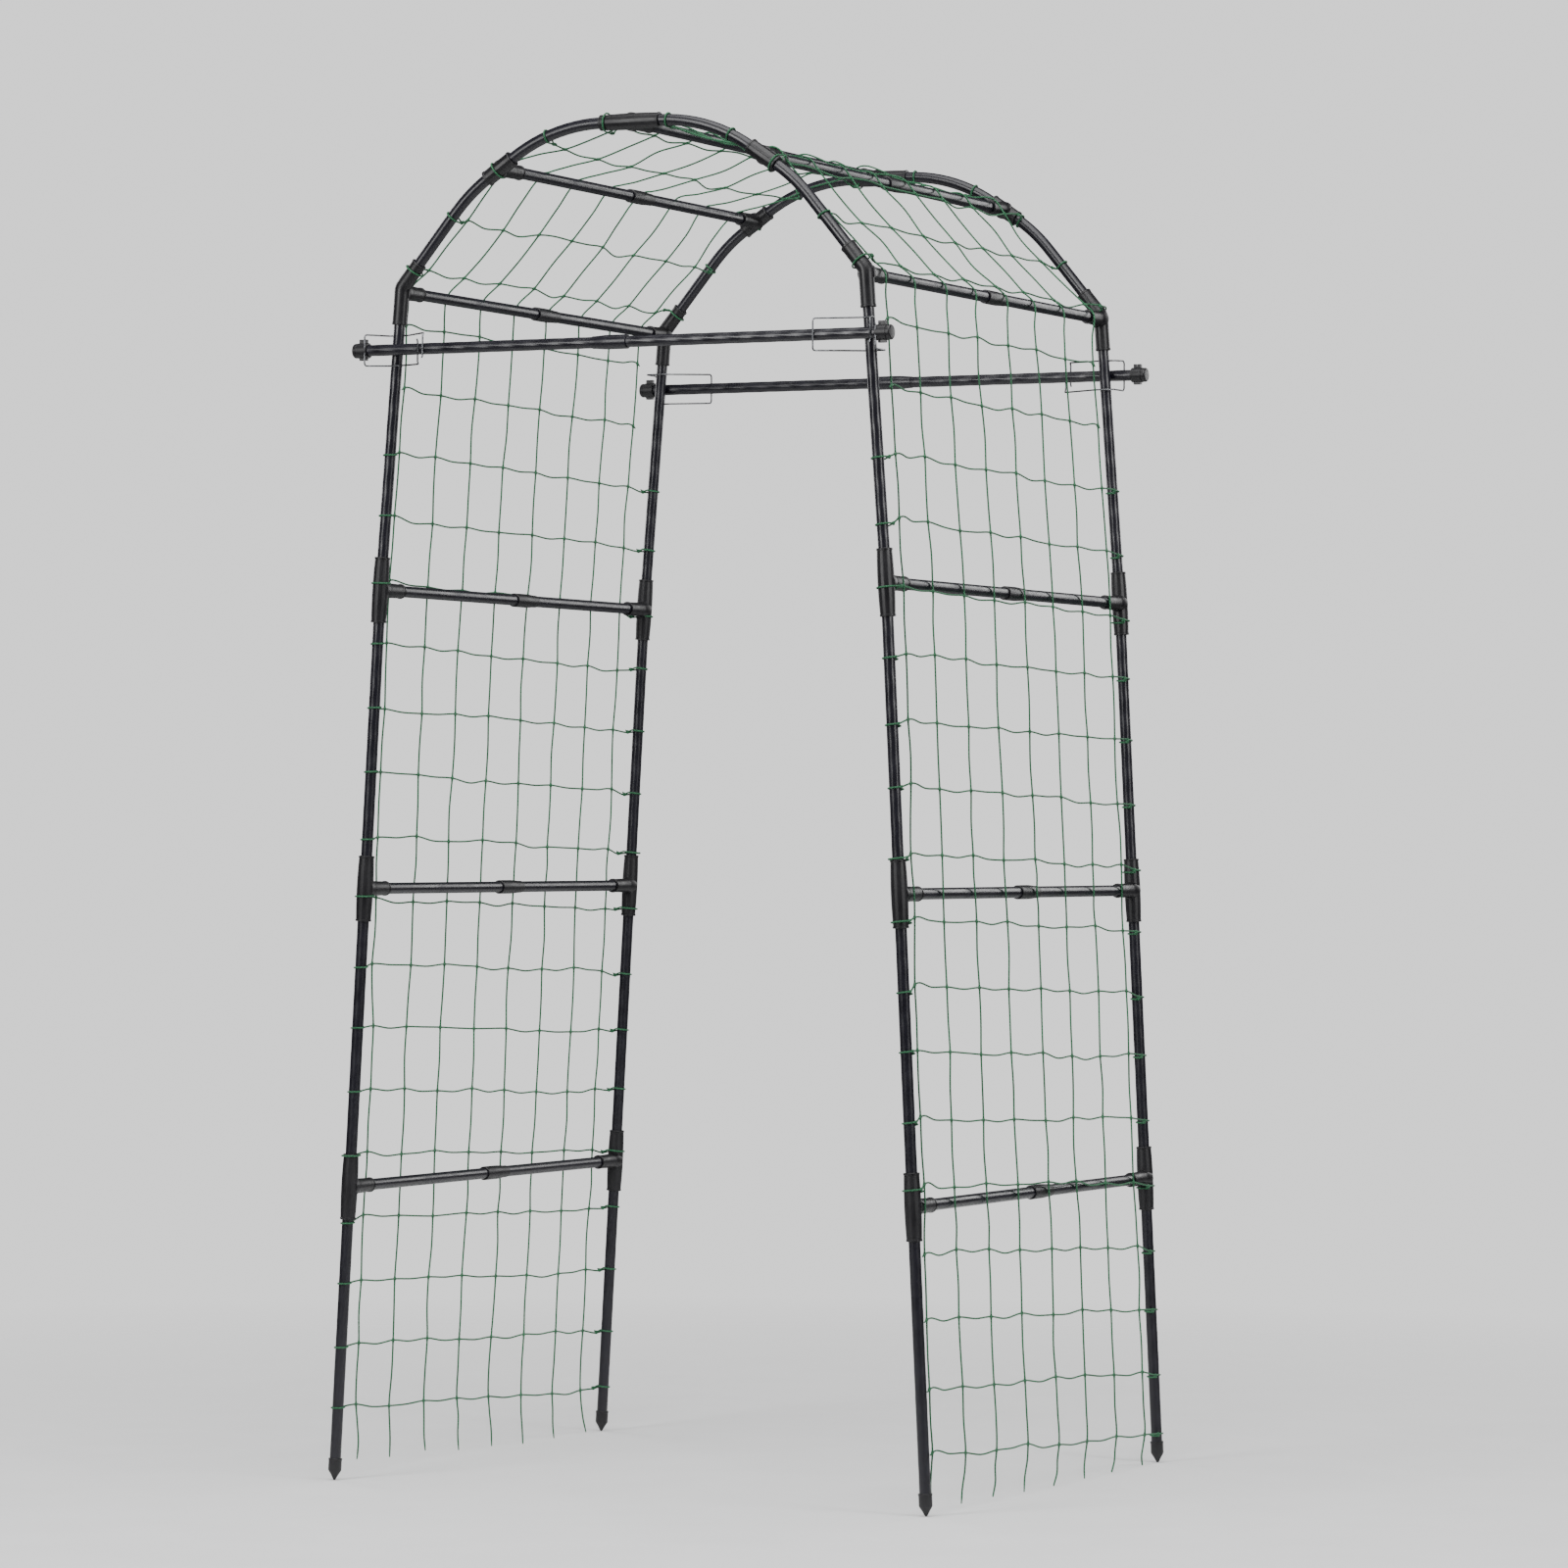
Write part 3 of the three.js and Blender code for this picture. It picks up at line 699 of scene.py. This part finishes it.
def elbow_mesh(name, down, up, drop):
    """A bent connector round the origin, with its socket `drop` below it along +Y."""
    radius, rim = ELBOW["radius"], ELBOW["rim"]
    points, radii = [], []
    for heading, arm, order in ((down, ELBOW["lower_arm"], 1), (up, ELBOW["upper_arm"], -1)):
        rings = [
            (arm, rim - EDGE_ROUND),
            (arm - EDGE_ROUND, rim),
            (arm - RIM_LENGTH, rim),
            (arm - RIM_LENGTH - EDGE_ROUND, radius),
            (arm / 2, radius),
            (9 * MM, radius + 0.2 * MM),
            (2.5 * MM, radius + 0.2 * MM),
        ][::order]
        points += [heading * distance for distance, _ in rings]
        radii += [ring_radius for _, ring_radius in rings]
    outer = sweep(points, radii, 44)
    origin = (0, 0, -drop)
    cuts = [
        bore_shape(down, ELBOW_STOP, ELBOW["lower_arm"]),
        bore_shape(up, ELBOW_STOP, ELBOW["upper_arm"]),
        bore_shape((0, 1, 0), SOCKET["floor"], ELBOW_SOCKET_LENGTH, origin),
    ]
    return carved(name, outer, [socket_shape(ELBOW_SOCKET_LENGTH, origin)], cuts)


def stake_mesh():
    """A stake tip round Z: a rimmed socket over a point with four shallow flutes."""
    radius, rim, length, cone = STAKE["radius"], STAKE["rim"], STAKE["length"], STAKE["cone"]
    profile = [
        (STAKE["tip"] * 0.4, 0.2 * MM),
        (STAKE["tip"], 1.2 * MM),
        (radius * 0.62, cone * 0.55),
        (radius - 0.3 * MM, cone - 0.8 * MM),
        (radius, cone + 0.6 * MM),
        (radius, length - RIM_LENGTH - EDGE_ROUND),
        (rim, length - RIM_LENGTH),
        (rim, length - EDGE_ROUND),
        (rim - EDGE_ROUND, length),
    ]

    def fluted(angles, height):
        depth = 0.13 * min(max((cone - height) / (5 * MM), 0), 1)
        return 1 - depth * (1 - np.cos(4 * angles)) / 2

    bore = bore_shape((0, 0, 1), STAKE_FLOOR, length)
    return carved("stake_tip", turned(profile, 48, fluted), cuts=[bore])


def cap_mesh():
    """A cap along +Z with a stepped rim, a notched lug towards +Y and a low one opposite."""
    length, radius, crown = CAP["length"], CAP["radius"], CAP["crown"]
    skirt, step_at, groove = CAP["skirt"], 11 * MM, 1.2 * MM
    profile = [
        (radius - EDGE_ROUND, -skirt),
        (radius, EDGE_ROUND - skirt),
        (radius, step_at),
        (radius - 2 * EDGE_ROUND, step_at + EDGE_ROUND),
        (radius - 2 * EDGE_ROUND, step_at + groove),
        (radius - EDGE_ROUND, step_at + groove + EDGE_ROUND),
    ]
    steps = 6
    shoulder = length - crown
    for step in range(steps + 1):
        angle = math.pi / 2 * step / steps
        rounded = radius - EDGE_ROUND - crown * (1 - math.cos(angle))
        profile.append((rounded, shoulder + crown * math.sin(angle)))
    half = LUG["thickness"] / 2
    start, end = LUG["start"], LUG["start"] + LUG["length"]
    inside = radius * 0.8
    lugs = [
        block((-half, inside, start), (half, radius + LUG["upper"], end)),
        block((-half, -radius - LUG["lower"], start), (half, -inside, end)),
    ]
    notch_floor = radius + LUG["upper"] - LUG_NOTCH["depth"]
    notch_start = (start + end - LUG_NOTCH["width"]) / 2
    notch_end = notch_start + LUG_NOTCH["width"]
    notch = block((-2 * half, notch_floor, notch_start), (2 * half, 2 * radius, notch_end))
    bore = bore_shape((0, 0, 1), -2 * skirt, length - CAP["wall"] - 5 * MM)
    return carved("end_cap", turned(profile, 48), lugs, [bore, notch])


def add_connectors():
    tee = tee_mesh("leg_tee", SLEEVE)
    haunch_tee = tee_mesh("haunch_tee", HAUNCH_SLEEVE)
    stake = stake_mesh()

    def add(node_name, mesh, matrix):
        name = f"{node_name}_moulding"
        add_piece(name, mesh, PLASTIC, FIXED, [node_name], matrix)

    for row in ROWS:
        for side in SIDES:
            label = f"{row}_{side}"
            line = leg_line(label)
            upwards = unit(line[1] - line[0])
            foot = line[0] - upwards * (line[0][2] / upwards[2])
            add(f"{label}_stake_tip", stake, pointing(upwards, inwards(row), foot))
            for level in LEVELS:
                place = on_leg(label, centre(f"{side}_{level}_rung").z)
                heading = upwards if level != "high" else unit(unit(line[2] - line[1]) + upwards)
                add(f"{label}_{level}_tee", tee, pointing(heading, inwards(row), place))
            haunch = centre(f"{side}_haunch_rung")
            haunch.y = line[0][1]
            lower = hoop_line(label, "lower")
            add(f"{label}_haunch_tee", haunch_tee, pointing(lower[1] - lower[0], inwards(row), haunch))
            add_elbow(label, side, line, lower, add)
        crown = centre("crown_rung")
        crown.y = line[0][1]
        add(f"{row}_crown_tee", tee, pointing((1, 0, 0), inwards(row), crown))


def add_elbow(label, side, line, hoop, add):
    """The elbow's corner is where the leg's axis meets the line of the hoop's straight foot."""
    down, up, corner = unit(line[1] - line[2]), unit(hoop[-2] - hoop[-1]), hoop[-1]
    drop = corner[2] - centre(f"{side}_shoulder_rung").z
    name = f"{label}_shoulder_elbow"
    turn = Matrix() if label.startswith("front") else Matrix.Rotation(math.pi, 4, "Z")
    back = np.array(turn.to_3x3())
    mesh = elbow_mesh(name, back @ down, back @ up, drop)
    add(name, mesh, Matrix.Translation(Vector(corner)) @ turn)


def add_caps():
    cap = cap_mesh()
    for row in ROWS:
        for side in SIDES:
            node_name = f"{row}_crossbar_{side}_cap"
            low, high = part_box(node_name)
            mouth = (low + high) / 2
            mouth.x = high.x if side == "left" else low.x
            matrix = pointing((SIGN[side], 0, 0), (0, 0, 1), mouth)
            body = f"{row}_crossbar_set"
            add_piece(f"{node_name}_moulding", cap, PLASTIC, body, [node_name], matrix)


# ---- wire clips ----

def add_clip(row, side):
    """Bends a clip's wire. Its route is told from the leg's axis: inwards, outwards from the end
    frame, and up."""
    label = f"{row}_{side}"
    name = f"{label}_cross_clip"
    low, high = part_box(name)
    middle = (low + high) / 2
    leg = on_leg(label, middle.z)
    outside, facing = SIGN[side], SIGN[row]
    wire = CLIP_WIRE_RADIUS
    outer, inner = sorted(outside * (leg[0] - x) for x in (low.x + wire, high.x - wire))
    closed, opened = (inner, outer) if label in CLOSED_INSIDE else (outer, inner)
    second = opened + math.copysign(CLIP_BAR_SPACING, closed - opened)
    top_in_front = label in TOP_IN_FRONT
    top_bar, bottom_bar = (second, opened) if top_in_front else (opened, second)
    front = high.y - wire if row == "rear" else -(low.y + wire)
    front -= abs(leg[1])
    to_leg = TUBE_RADIUS + wire + 0.5 * MM
    tall = (high.z - low.z) / 2 - wire
    bend = CLIP_BEND

    def past_leg(height, in_front):
        """The stretch beside the leg, wide enough to clear it when the clip has slid down."""
        outwards = -10 * MM if in_front else max(-18.5 * MM, outer + 1 * MM)
        order = [outwards, 10 * MM] if label in CLOSED_INSIDE else [10 * MM, outwards]
        return [(place, to_leg if in_front else -to_leg, height) for place in order]

    lip = 2 * MM
    route = [
        (top_bar, front + lip, -CLIP_FREE_END),
        (top_bar, front, 3 * MM - CLIP_FREE_END),
        (top_bar, front, tall - bend),
        (top_bar, front - bend, tall),
        *past_leg(tall, top_in_front),
        (closed, front - bend, tall),
        (closed, front, tall - bend),
        (closed, front, bend - tall),
        (closed, front - bend, -tall),
        *past_leg(-tall, not top_in_front)[::-1],
        (bottom_bar, front - bend, -tall),
        (bottom_bar, front, bend - tall),
        (bottom_bar, front, CLIP_FREE_END - 3 * MM),
        (bottom_bar, front + lip, CLIP_FREE_END),
    ]
    points = [(leg[0] - outside * place, leg[1] + facing * y, middle.z + z) for place, y, z in route]
    line = rounded_line(points, CLIP_BEND)
    mesh = to_mesh(f"{name}_wire", sweep(line, [wire] * len(line), 12))
    add_piece(mesh.name, mesh, ZINC, f"{row}_crossbar_set", [name])


# ---- net ----

LEFT_RUNGS = [f"left_{level}_rung" for level in (*LEVELS, "shoulder", "haunch")]
RUNGS = [*LEFT_RUNGS, "crown_rung", *(name.replace("left", "right") for name in LEFT_RUNGS[::-1])]


def net_supports():
    """(x, z) of what the net lies on, from the left hem to the right one, and the way outwards."""
    places = [np.array([centre(name).x, centre(name).z]) for name in RUNGS]
    feet = [on_leg(f"front_{side}", TAIL_END[side][0])[[0, 2]] for side in SIDES]
    places = [feet[0], *places, feet[1]]
    supports = []
    for index, place in enumerate(places):
        before = places[max(index - 1, 0)]
        after = places[min(index + 1, len(places) - 1)]
        heading = unit(after - before)
        supports.append((place, np.array([-heading[1], heading[0]])))
    return supports


SUPPORTS = net_supports()
SUPPORT_PLACES = np.array([place for place, _ in SUPPORTS])
STATIONS = distances_along(SUPPORT_PLACES)
LEG_DEPTH = abs(leg_line("front_left")[0][1])
ROOF_BOTTOM = centre("left_shoulder_rung").z


def rung_radius(y):
    """How thick a rung is at this depth: a tube, its coupler, or the socket it sits in."""
    if LEG_DEPTH - abs(y) < SOCKET["length"] + 2 * MM:
        return SOCKET["rim"] + 1 * MM
    if COUPLER["lip"] - 1 * MM < y < COUPLER["shoulder"]:
        return COUPLER["radius"]
    if COUPLER["shoulder"] <= y < COUPLER["end"]:
        share = (y - COUPLER["shoulder"]) / (COUPLER["end"] - COUPLER["shoulder"])
        return COUPLER["radius"] + (COUPLER["thin"] - COUPLER["radius"]) * share
    return TUBE_RADIUS


def end_frame_radius(away):
    """How thick an end frame is at these distances from its connectors, in the rungs' order."""
    arms = [(HAUNCH_SLEEVE if "haunch" in name else SLEEVE)["arm"] for name in RUNGS]
    return SLEEVE["waist"] if (away < np.array(arms) + 4 * MM).any() else TUBE_RADIUS


def support_radius(station, y):
    """How far what lies under the net reaches out: a rung, or a leg or its connector."""
    beside_leg = 20 * MM
    if LEG_DEPTH - abs(y) > beside_leg:
        return rung_radius(y)
    return end_frame_radius(np.abs(STATIONS[1:-1] - station))


def net_point(station, y):
    """Where the net is at a distance along it and a depth."""
    offset = support_radius(station, y) + STRAND_RADIUS + NET_GAP
    outer = [place + out * offset for place, out in SUPPORTS]
    index = int(np.clip(np.searchsorted(STATIONS, station) - 1, 0, len(STATIONS) - 2))
    share = (station - STATIONS[index]) / (STATIONS[index + 1] - STATIONS[index])
    place = outer[index] + (outer[index + 1] - outer[index]) * share
    level = abs(unit(outer[index + 1] - outer[index])[0])
    sag = ROOF_SAG * 4 * share * (1 - share) * level if 0 <= share <= 1 else 0
    return np.array([place[0], y, place[1] - sag])


def strand_depth(number, station):
    """A lengthwise strand's depth, which drifts from the left side's spacing to the right's."""
    share = station / STATIONS[-1]
    left = STRAND_FIRST["left"] + number * STRAND_PITCH["left"]
    right = STRAND_FIRST["right"] + number * STRAND_PITCH["right"]
    return -LEG_DEPTH + left + (right - left) * share


def station_at_height(side, height):
    """The station on a side panel that lies at this height."""
    if side == "left":
        return float(np.interp(height, SUPPORT_PLACES[:4, 1], STATIONS[:4]))
    return float(np.interp(height, SUPPORT_PLACES[:-5:-1, 1], STATIONS[:-5:-1]))


def slanted(front, rear, y):
    """The value at a depth of what changes evenly from the front legs to the rear ones."""
    return front + (rear - front) * (LEG_DEPTH + y) / (2 * LEG_DEPTH)


def row_station(row, rows, y):
    """Where a cross row crosses this depth; the rows fan a little, as their bottom row slants."""
    ends = []
    for side in SIDES:
        front, rear = (station_at_height(side, height) for height in BOTTOM_ROW[side])
        ends.append(slanted(front, rear, y))
    return ends[0] + (ends[1] - ends[0]) * row / rows


def clear_of_rungs(points):
    """The points, with those that would be inside a rung moved out to its surface."""
    points = points.copy()
    between = np.abs(points[:, 1]) < LEG_DEPTH - SOCKET["floor"]
    reach = np.array([rung_radius(y) for y in points[:, 1]]) + STRAND_RADIUS
    for place in SUPPORT_PLACES[1:-1]:
        spokes = points[:, [0, 2]] - place
        away = np.linalg.norm(spokes, axis=1)
        inside = between & (away < reach)
        scale = reach[inside] / away[inside]
        points[np.ix_(inside, [0, 2])] = place + spokes[inside] * scale[:, None]
    return points


def strand(points, knots):
    """A strand through the points, swollen at those in the list that are knots. It has a ring
    wherever it has run or turned far enough, and more at its knots."""
    steps, ring_spacing, ring_turn = 8, 12 * MM, math.radians(10)
    line = smooth_line(points, steps)
    travelled = distances_along(line)
    headings = np.diff(line, axis=0) / np.diff(travelled)[:, None]
    turns = np.arccos(np.clip((headings[1:] * headings[:-1]).sum(axis=1), -1, 1))
    progress = travelled / ring_spacing
    progress[1:-1] += np.cumsum(turns) / ring_turn
    progress[-1] += turns.sum() / ring_turn
    stations = [np.interp(np.arange(0, progress[-1]), progress, travelled), [travelled[-1]]]
    knot_places = np.array([travelled[knot * steps] for knot in knots])
    near = np.array([-3.5, -1.8, -0.8, 0, 0.8, 1.8, 3.5]) * MM
    stations.append((knot_places[:, None] + near).ravel())
    stations = np.unique(np.clip(np.concatenate(stations), 0, travelled[-1]))
    stations = stations[np.concatenate([[True], np.diff(stations) > 0.4 * MM])]
    away = np.abs(stations[:, None] - knot_places).min(axis=1)
    radii = STRAND_RADIUS * (1 + KNOT_SWELL * np.exp(-((away / KNOT_HALF_LENGTH) ** 2)))
    radii[[0, -1]] *= 0.7
    return sweep(clear_of_rungs(at_distances(line, stations)), radii, 7)


def wobble(size):
    return random.uniform(-size, size)


def edge_line(row):
    """The axis of an end frame from the left foot over the hoop to the right foot."""
    points = list(leg_line(f"{row}_left"))[:-1]
    points += reversed(hoop_line(f"{row}_left", "lower"))
    points += reversed(hoop_line(f"{row}_left", "upper"))
    mirrored = [point * np.array([-1, 1, 1]) for point in reversed(points)]
    beyond_far_foot = 4.6
    return at_distances(np.array(points + mirrored), np.arange(0, beyond_far_foot, 5 * MM))


EDGES = {row: edge_line(row) for row in ROWS}


def leg_wrap(knot, row):
    """A cross row's end, from its last knot once round the leg or hoop and back to itself, and
    which of its points are knots."""
    line = EDGES[row]
    target = np.array([knot[0], line[0][1], knot[2] - random.uniform(0, 8) * MM])
    index = int(np.clip(np.linalg.norm(line - target, axis=1).argmin(), 1, len(line) - 2))
    axis, heading = line[index], unit(line[index + 1] - line[index - 1])
    outwards = unit(np.cross(np.array([0, 1.0, 0]), heading))
    if (knot - axis) @ outwards < 0:
        outwards = -outwards
    flat = np.array([axis[0], axis[2]])
    away = np.linalg.norm(SUPPORT_PLACES[1:-1] - flat, axis=1)
    radius = end_frame_radius(away) + STRAND_RADIUS
    loop, lead, close_knot = [], 0.6 * MM, 25 * MM
    for angle in np.radians(np.linspace(80, 400, 17)):
        spoke = outwards * math.sin(angle) + inwards(row) * math.cos(angle)
        loop.append(axis + spoke * radius + heading * lead * angle)
    if abs(knot[1] - axis[1]) < close_knot:
        return [*loop, loop[-1] + outwards * 4 * MM], [0, len(loop) - 1]
    tie = axis + inwards(row) * (radius + 6 * MM) + outwards * radius
    tail = tie + (knot - tie) * 0.15 + heading * 3 * MM
    return [tie, *loop, tie + heading * 1.5 * MM, tail], [0, len(loop) + 1]


def in_crossbar_travel(height):
    """Whether a clip can slide past this height, where no row is tied round a leg."""
    bar, margin = centre("front_crossbar").z, 32 * MM
    return bar + CROSSBAR_TRAVEL[0] - margin < height < bar + CROSSBAR_TRAVEL[1] + margin


def row_end(knot, row, wrapped):
    """How a cross row ends past its last knot: tied round the leg, or cut short."""
    if wrapped and not in_crossbar_travel(knot[2]):
        return leg_wrap(knot, row)
    return [knot + np.array([0, SIGN[row] * 7 * MM, -3 * MM])], []


def hanging_between(first, second, droop):
    """The point half way between two knots, lower and a little off; the slack roof strays more."""
    middle = (first + second) / 2
    stray = 4 * MM if middle[2] > ROOF_BOTTOM else 1.5 * MM
    return middle + np.array([wobble(stray), wobble(stray), wobble(stray) - droop])


def net_knots():
    """The net's knots, as rows of points from front to rear."""
    first, last = (station_at_height(side, BOTTOM_ROW[side][0]) for side in SIDES)
    rows = round((last - first) / ROW_PITCH)
    knots = []
    for row in range(rows + 1):
        line = []
        for number in range(STRANDS_ACROSS):
            y = strand_depth(number, row_station(row, rows, 0)) + wobble(3 * MM)
            station = row_station(row, rows, y) + wobble(3 * MM)
            line.append((station, net_point(station, y)))
        knots.append(line)
    return knots


def cross_rows(knots):
    shapes = []
    for index, row in enumerate(knots):
        places = [place for _, place in row]
        points, tied = [places[0]], [0]
        for before, after in zip(places, places[1:]):
            points += [hanging_between(before, after, random.uniform(1, 4) * MM), after]
            tied.append(len(points) - 1)
        front, front_tied = row_end(places[0], "front", index < len(knots) - UNTIED_ROWS)
        rear, rear_tied = row_end(places[-1], "rear", True)
        everything = front[::-1] + points + rear
        shift = len(front)
        places_tied = [shift - 1 - knot for knot in front_tied]
        places_tied += [shift + knot for knot in tied]
        places_tied += [shift + len(points) + knot for knot in rear_tied]
        shapes.append(strand(everything, sorted(places_tied)))
    return shapes


def lengthwise_strands(knots):
    """Each strand runs through its knots and over the rungs, and ends in a tail at each hem."""
    shapes, at_rung, long_stretch = [], 6 * MM, 45 * MM
    for number in range(STRANDS_ACROSS):
        stops = [(*row[number], True) for row in knots]
        for station in STATIONS[1:-1]:
            closest = min(abs(station - stop[0]) for stop in stops)
            if closest > at_rung:
                y = np.interp(station, [s[0] for s in stops if s[2]], [s[1][1] for s in stops if s[2]])
                stops.append((station, net_point(station, y), False))
        stops.sort(key=lambda stop: stop[0])
        points, tied = tail_points(stops[0][1], "left")[::-1], []
        for before, after in zip(stops, stops[1:]):
            points.append(before[1])
            if before[2]:
                tied.append(len(points) - 1)
            if after[0] - before[0] > long_stretch:
                points.append(hanging_between(before[1], after[1], 0))
        points.append(stops[-1][1])
        tied.append(len(points) - 1)
        points += tail_points(stops[-1][1], "right")
        shapes.append(strand(points, tied))
    return shapes


def tail_points(knot, side):
    """A loose end that hangs from the bottom row, with a slight curl."""
    foot = SUPPORT_PLACES[0 if side == "left" else -1]
    end_height = max(slanted(*TAIL_END[side], knot[1]) + wobble(4 * MM), TAIL_OFF_FLOOR)
    lean = (foot[0] - knot[0]) * 0.6
    points = []
    for share in (0.35, 0.7, 1.0):
        z = knot[2] + (end_height - knot[2]) * share
        points.append(np.array([knot[0] + lean * share, knot[1] + wobble(3.5 * MM) * share * 2, z]))
    return points


def add_net():
    knots = net_knots()
    net = joined([*lengthwise_strands(knots), *cross_rows(knots)])
    mesh = to_mesh("climbing_net_twine", net, 60)
    add_piece(mesh.name, mesh, NET_TWINE, FIXED, ["climbing_net"])


# ---- stage, light and camera ----

AZIMUTH = 26.6  # degrees round from the front
VIEW = {"elevation": -0.45, "roll": 0.31, "distance": 8.583, "lens": 137.6}
TARGET = {"across": 0.039, "height": 0.9833}
LIGHT_DISTANCE = 4.5
BACKGROUND, FILL = 1.25, 0.1  # strengths: of the surroundings as seen, and of the light they give


def facing_from(azimuth, elevation):
    """The direction from the arch towards something seen at these angles, in degrees."""
    a, e = math.radians(azimuth), math.radians(elevation)
    return Vector((math.sin(a) * math.cos(e), -math.cos(a) * math.cos(e), math.sin(e)))


def add_camera():
    camera = placed("camera", bpy.data.cameras.new("camera"))
    bpy.context.scene.camera = camera
    camera.data.lens = VIEW["lens"]
    camera.data.sensor_width = 36
    camera.data.clip_end = 200
    right = facing_from(AZIMUTH + 90, 0)
    target = right * TARGET["across"] + Vector((0, 0, TARGET["height"]))
    back = facing_from(AZIMUTH, VIEW["elevation"])
    turn = pointing(back, (0, 0, 1)) @ Matrix.Rotation(math.radians(VIEW["roll"]), 4, "Z")
    camera.matrix_world = Matrix.Translation(target + back * VIEW["distance"]) @ turn


def add_floor():
    """A pale floor that fades into the plain surroundings, so that no horizon shows."""
    size = 12
    corners = [(-size, -size, 0), (size, -size, 0), (size, size, 0), (-size, size, 0)]
    mesh = bpy.data.meshes.new("floor")
    mesh.from_pydata(corners, [], [(0, 1, 2, 3)])
    floor = placed("floor", mesh)
    material, tree, shader = surface("pale_floor", Roughness=0.9, Specular_IOR_Level=0.1)
    place = node(tree, "ShaderNodeTexCoord").outputs["Object"]
    cloudy = ranged(tree, noise(tree, place, 6), 0, 1)
    pale = blended(tree, cloudy, (0.83, 0.83, 0.83), (0.86, 0.86, 0.86))
    tree.links.new(pale, shader.inputs["Base Color"])
    away = node(tree, "ShaderNodeVectorMath", {0: place}, operation="LENGTH").outputs["Value"]
    tree.links.new(ranged(tree, away, 1, 0, 0.9, 3.2), shader.inputs["Alpha"])
    mesh.materials.append(material)
    floor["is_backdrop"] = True


def add_light(name, azimuth, elevation, width, height, power):
    lamp = bpy.data.lights.new(name, "AREA")
    lamp.shape = "RECTANGLE"
    lamp.size = width
    lamp.size_y = height
    lamp.energy = power
    light = placed(name, lamp)
    towards = facing_from(azimuth, elevation)
    light.matrix_world = pointing(towards, (0, 0, 1), Vector((0, 0, 1)) + towards * LIGHT_DISTANCE)


def add_lights():
    """Tall soft boxes give each tube its lengthwise highlights; one above lights the floor."""
    tall = {"left": (-20, 110), "right": (80, 95), "rear_right": (160, 50), "rear_left": (250, 50)}
    for name, (azimuth, power) in tall.items():
        add_light(f"{name}_softbox", azimuth, elevation=18, width=1.1, height=2.3, power=power)
    add_light("key_softbox", AZIMUTH, elevation=48, width=2.5, height=0.5, power=55)
    add_light("top_softbox", AZIMUTH, elevation=75, width=4, height=4, power=230)
    world = bpy.data.worlds.new("studio")
    bpy.context.scene.world = world
    world.use_nodes = True
    tree = world.node_tree
    tree.nodes.clear()
    seen = node(tree, "ShaderNodeBackground", {"Color": (1, 1, 1, 1), "Strength": BACKGROUND})
    lit = node(tree, "ShaderNodeBackground", {"Color": (0.93, 0.94, 1, 1), "Strength": FILL})
    ray = node(tree, "ShaderNodeLightPath")
    kinds = {0: ray.outputs["Is Camera Ray"], 1: lit.outputs[0], 2: seen.outputs[0]}
    mixed = node(tree, "ShaderNodeMixShader", kinds)
    node(tree, "ShaderNodeOutputWorld", {"Surface": mixed.outputs[0]})


# ---- everything ----

add_camera()
add_floor()
add_lights()
for row_name in ROWS:
    for side_name in SIDES:
        place_name = f"{row_name}_{side_name}"
        add_leg_tubes(place_name, side_name)
        add_hoop_tubes(place_name)
        add_clip(row_name, side_name)
    add_crossbar(row_name)
add_rungs()
add_connectors()
add_caps()
add_net()

boxes = {"cad": cad_box, "visual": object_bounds()}
{key: [list(low), list(high)] for key, (low, high) in boxes.items()}
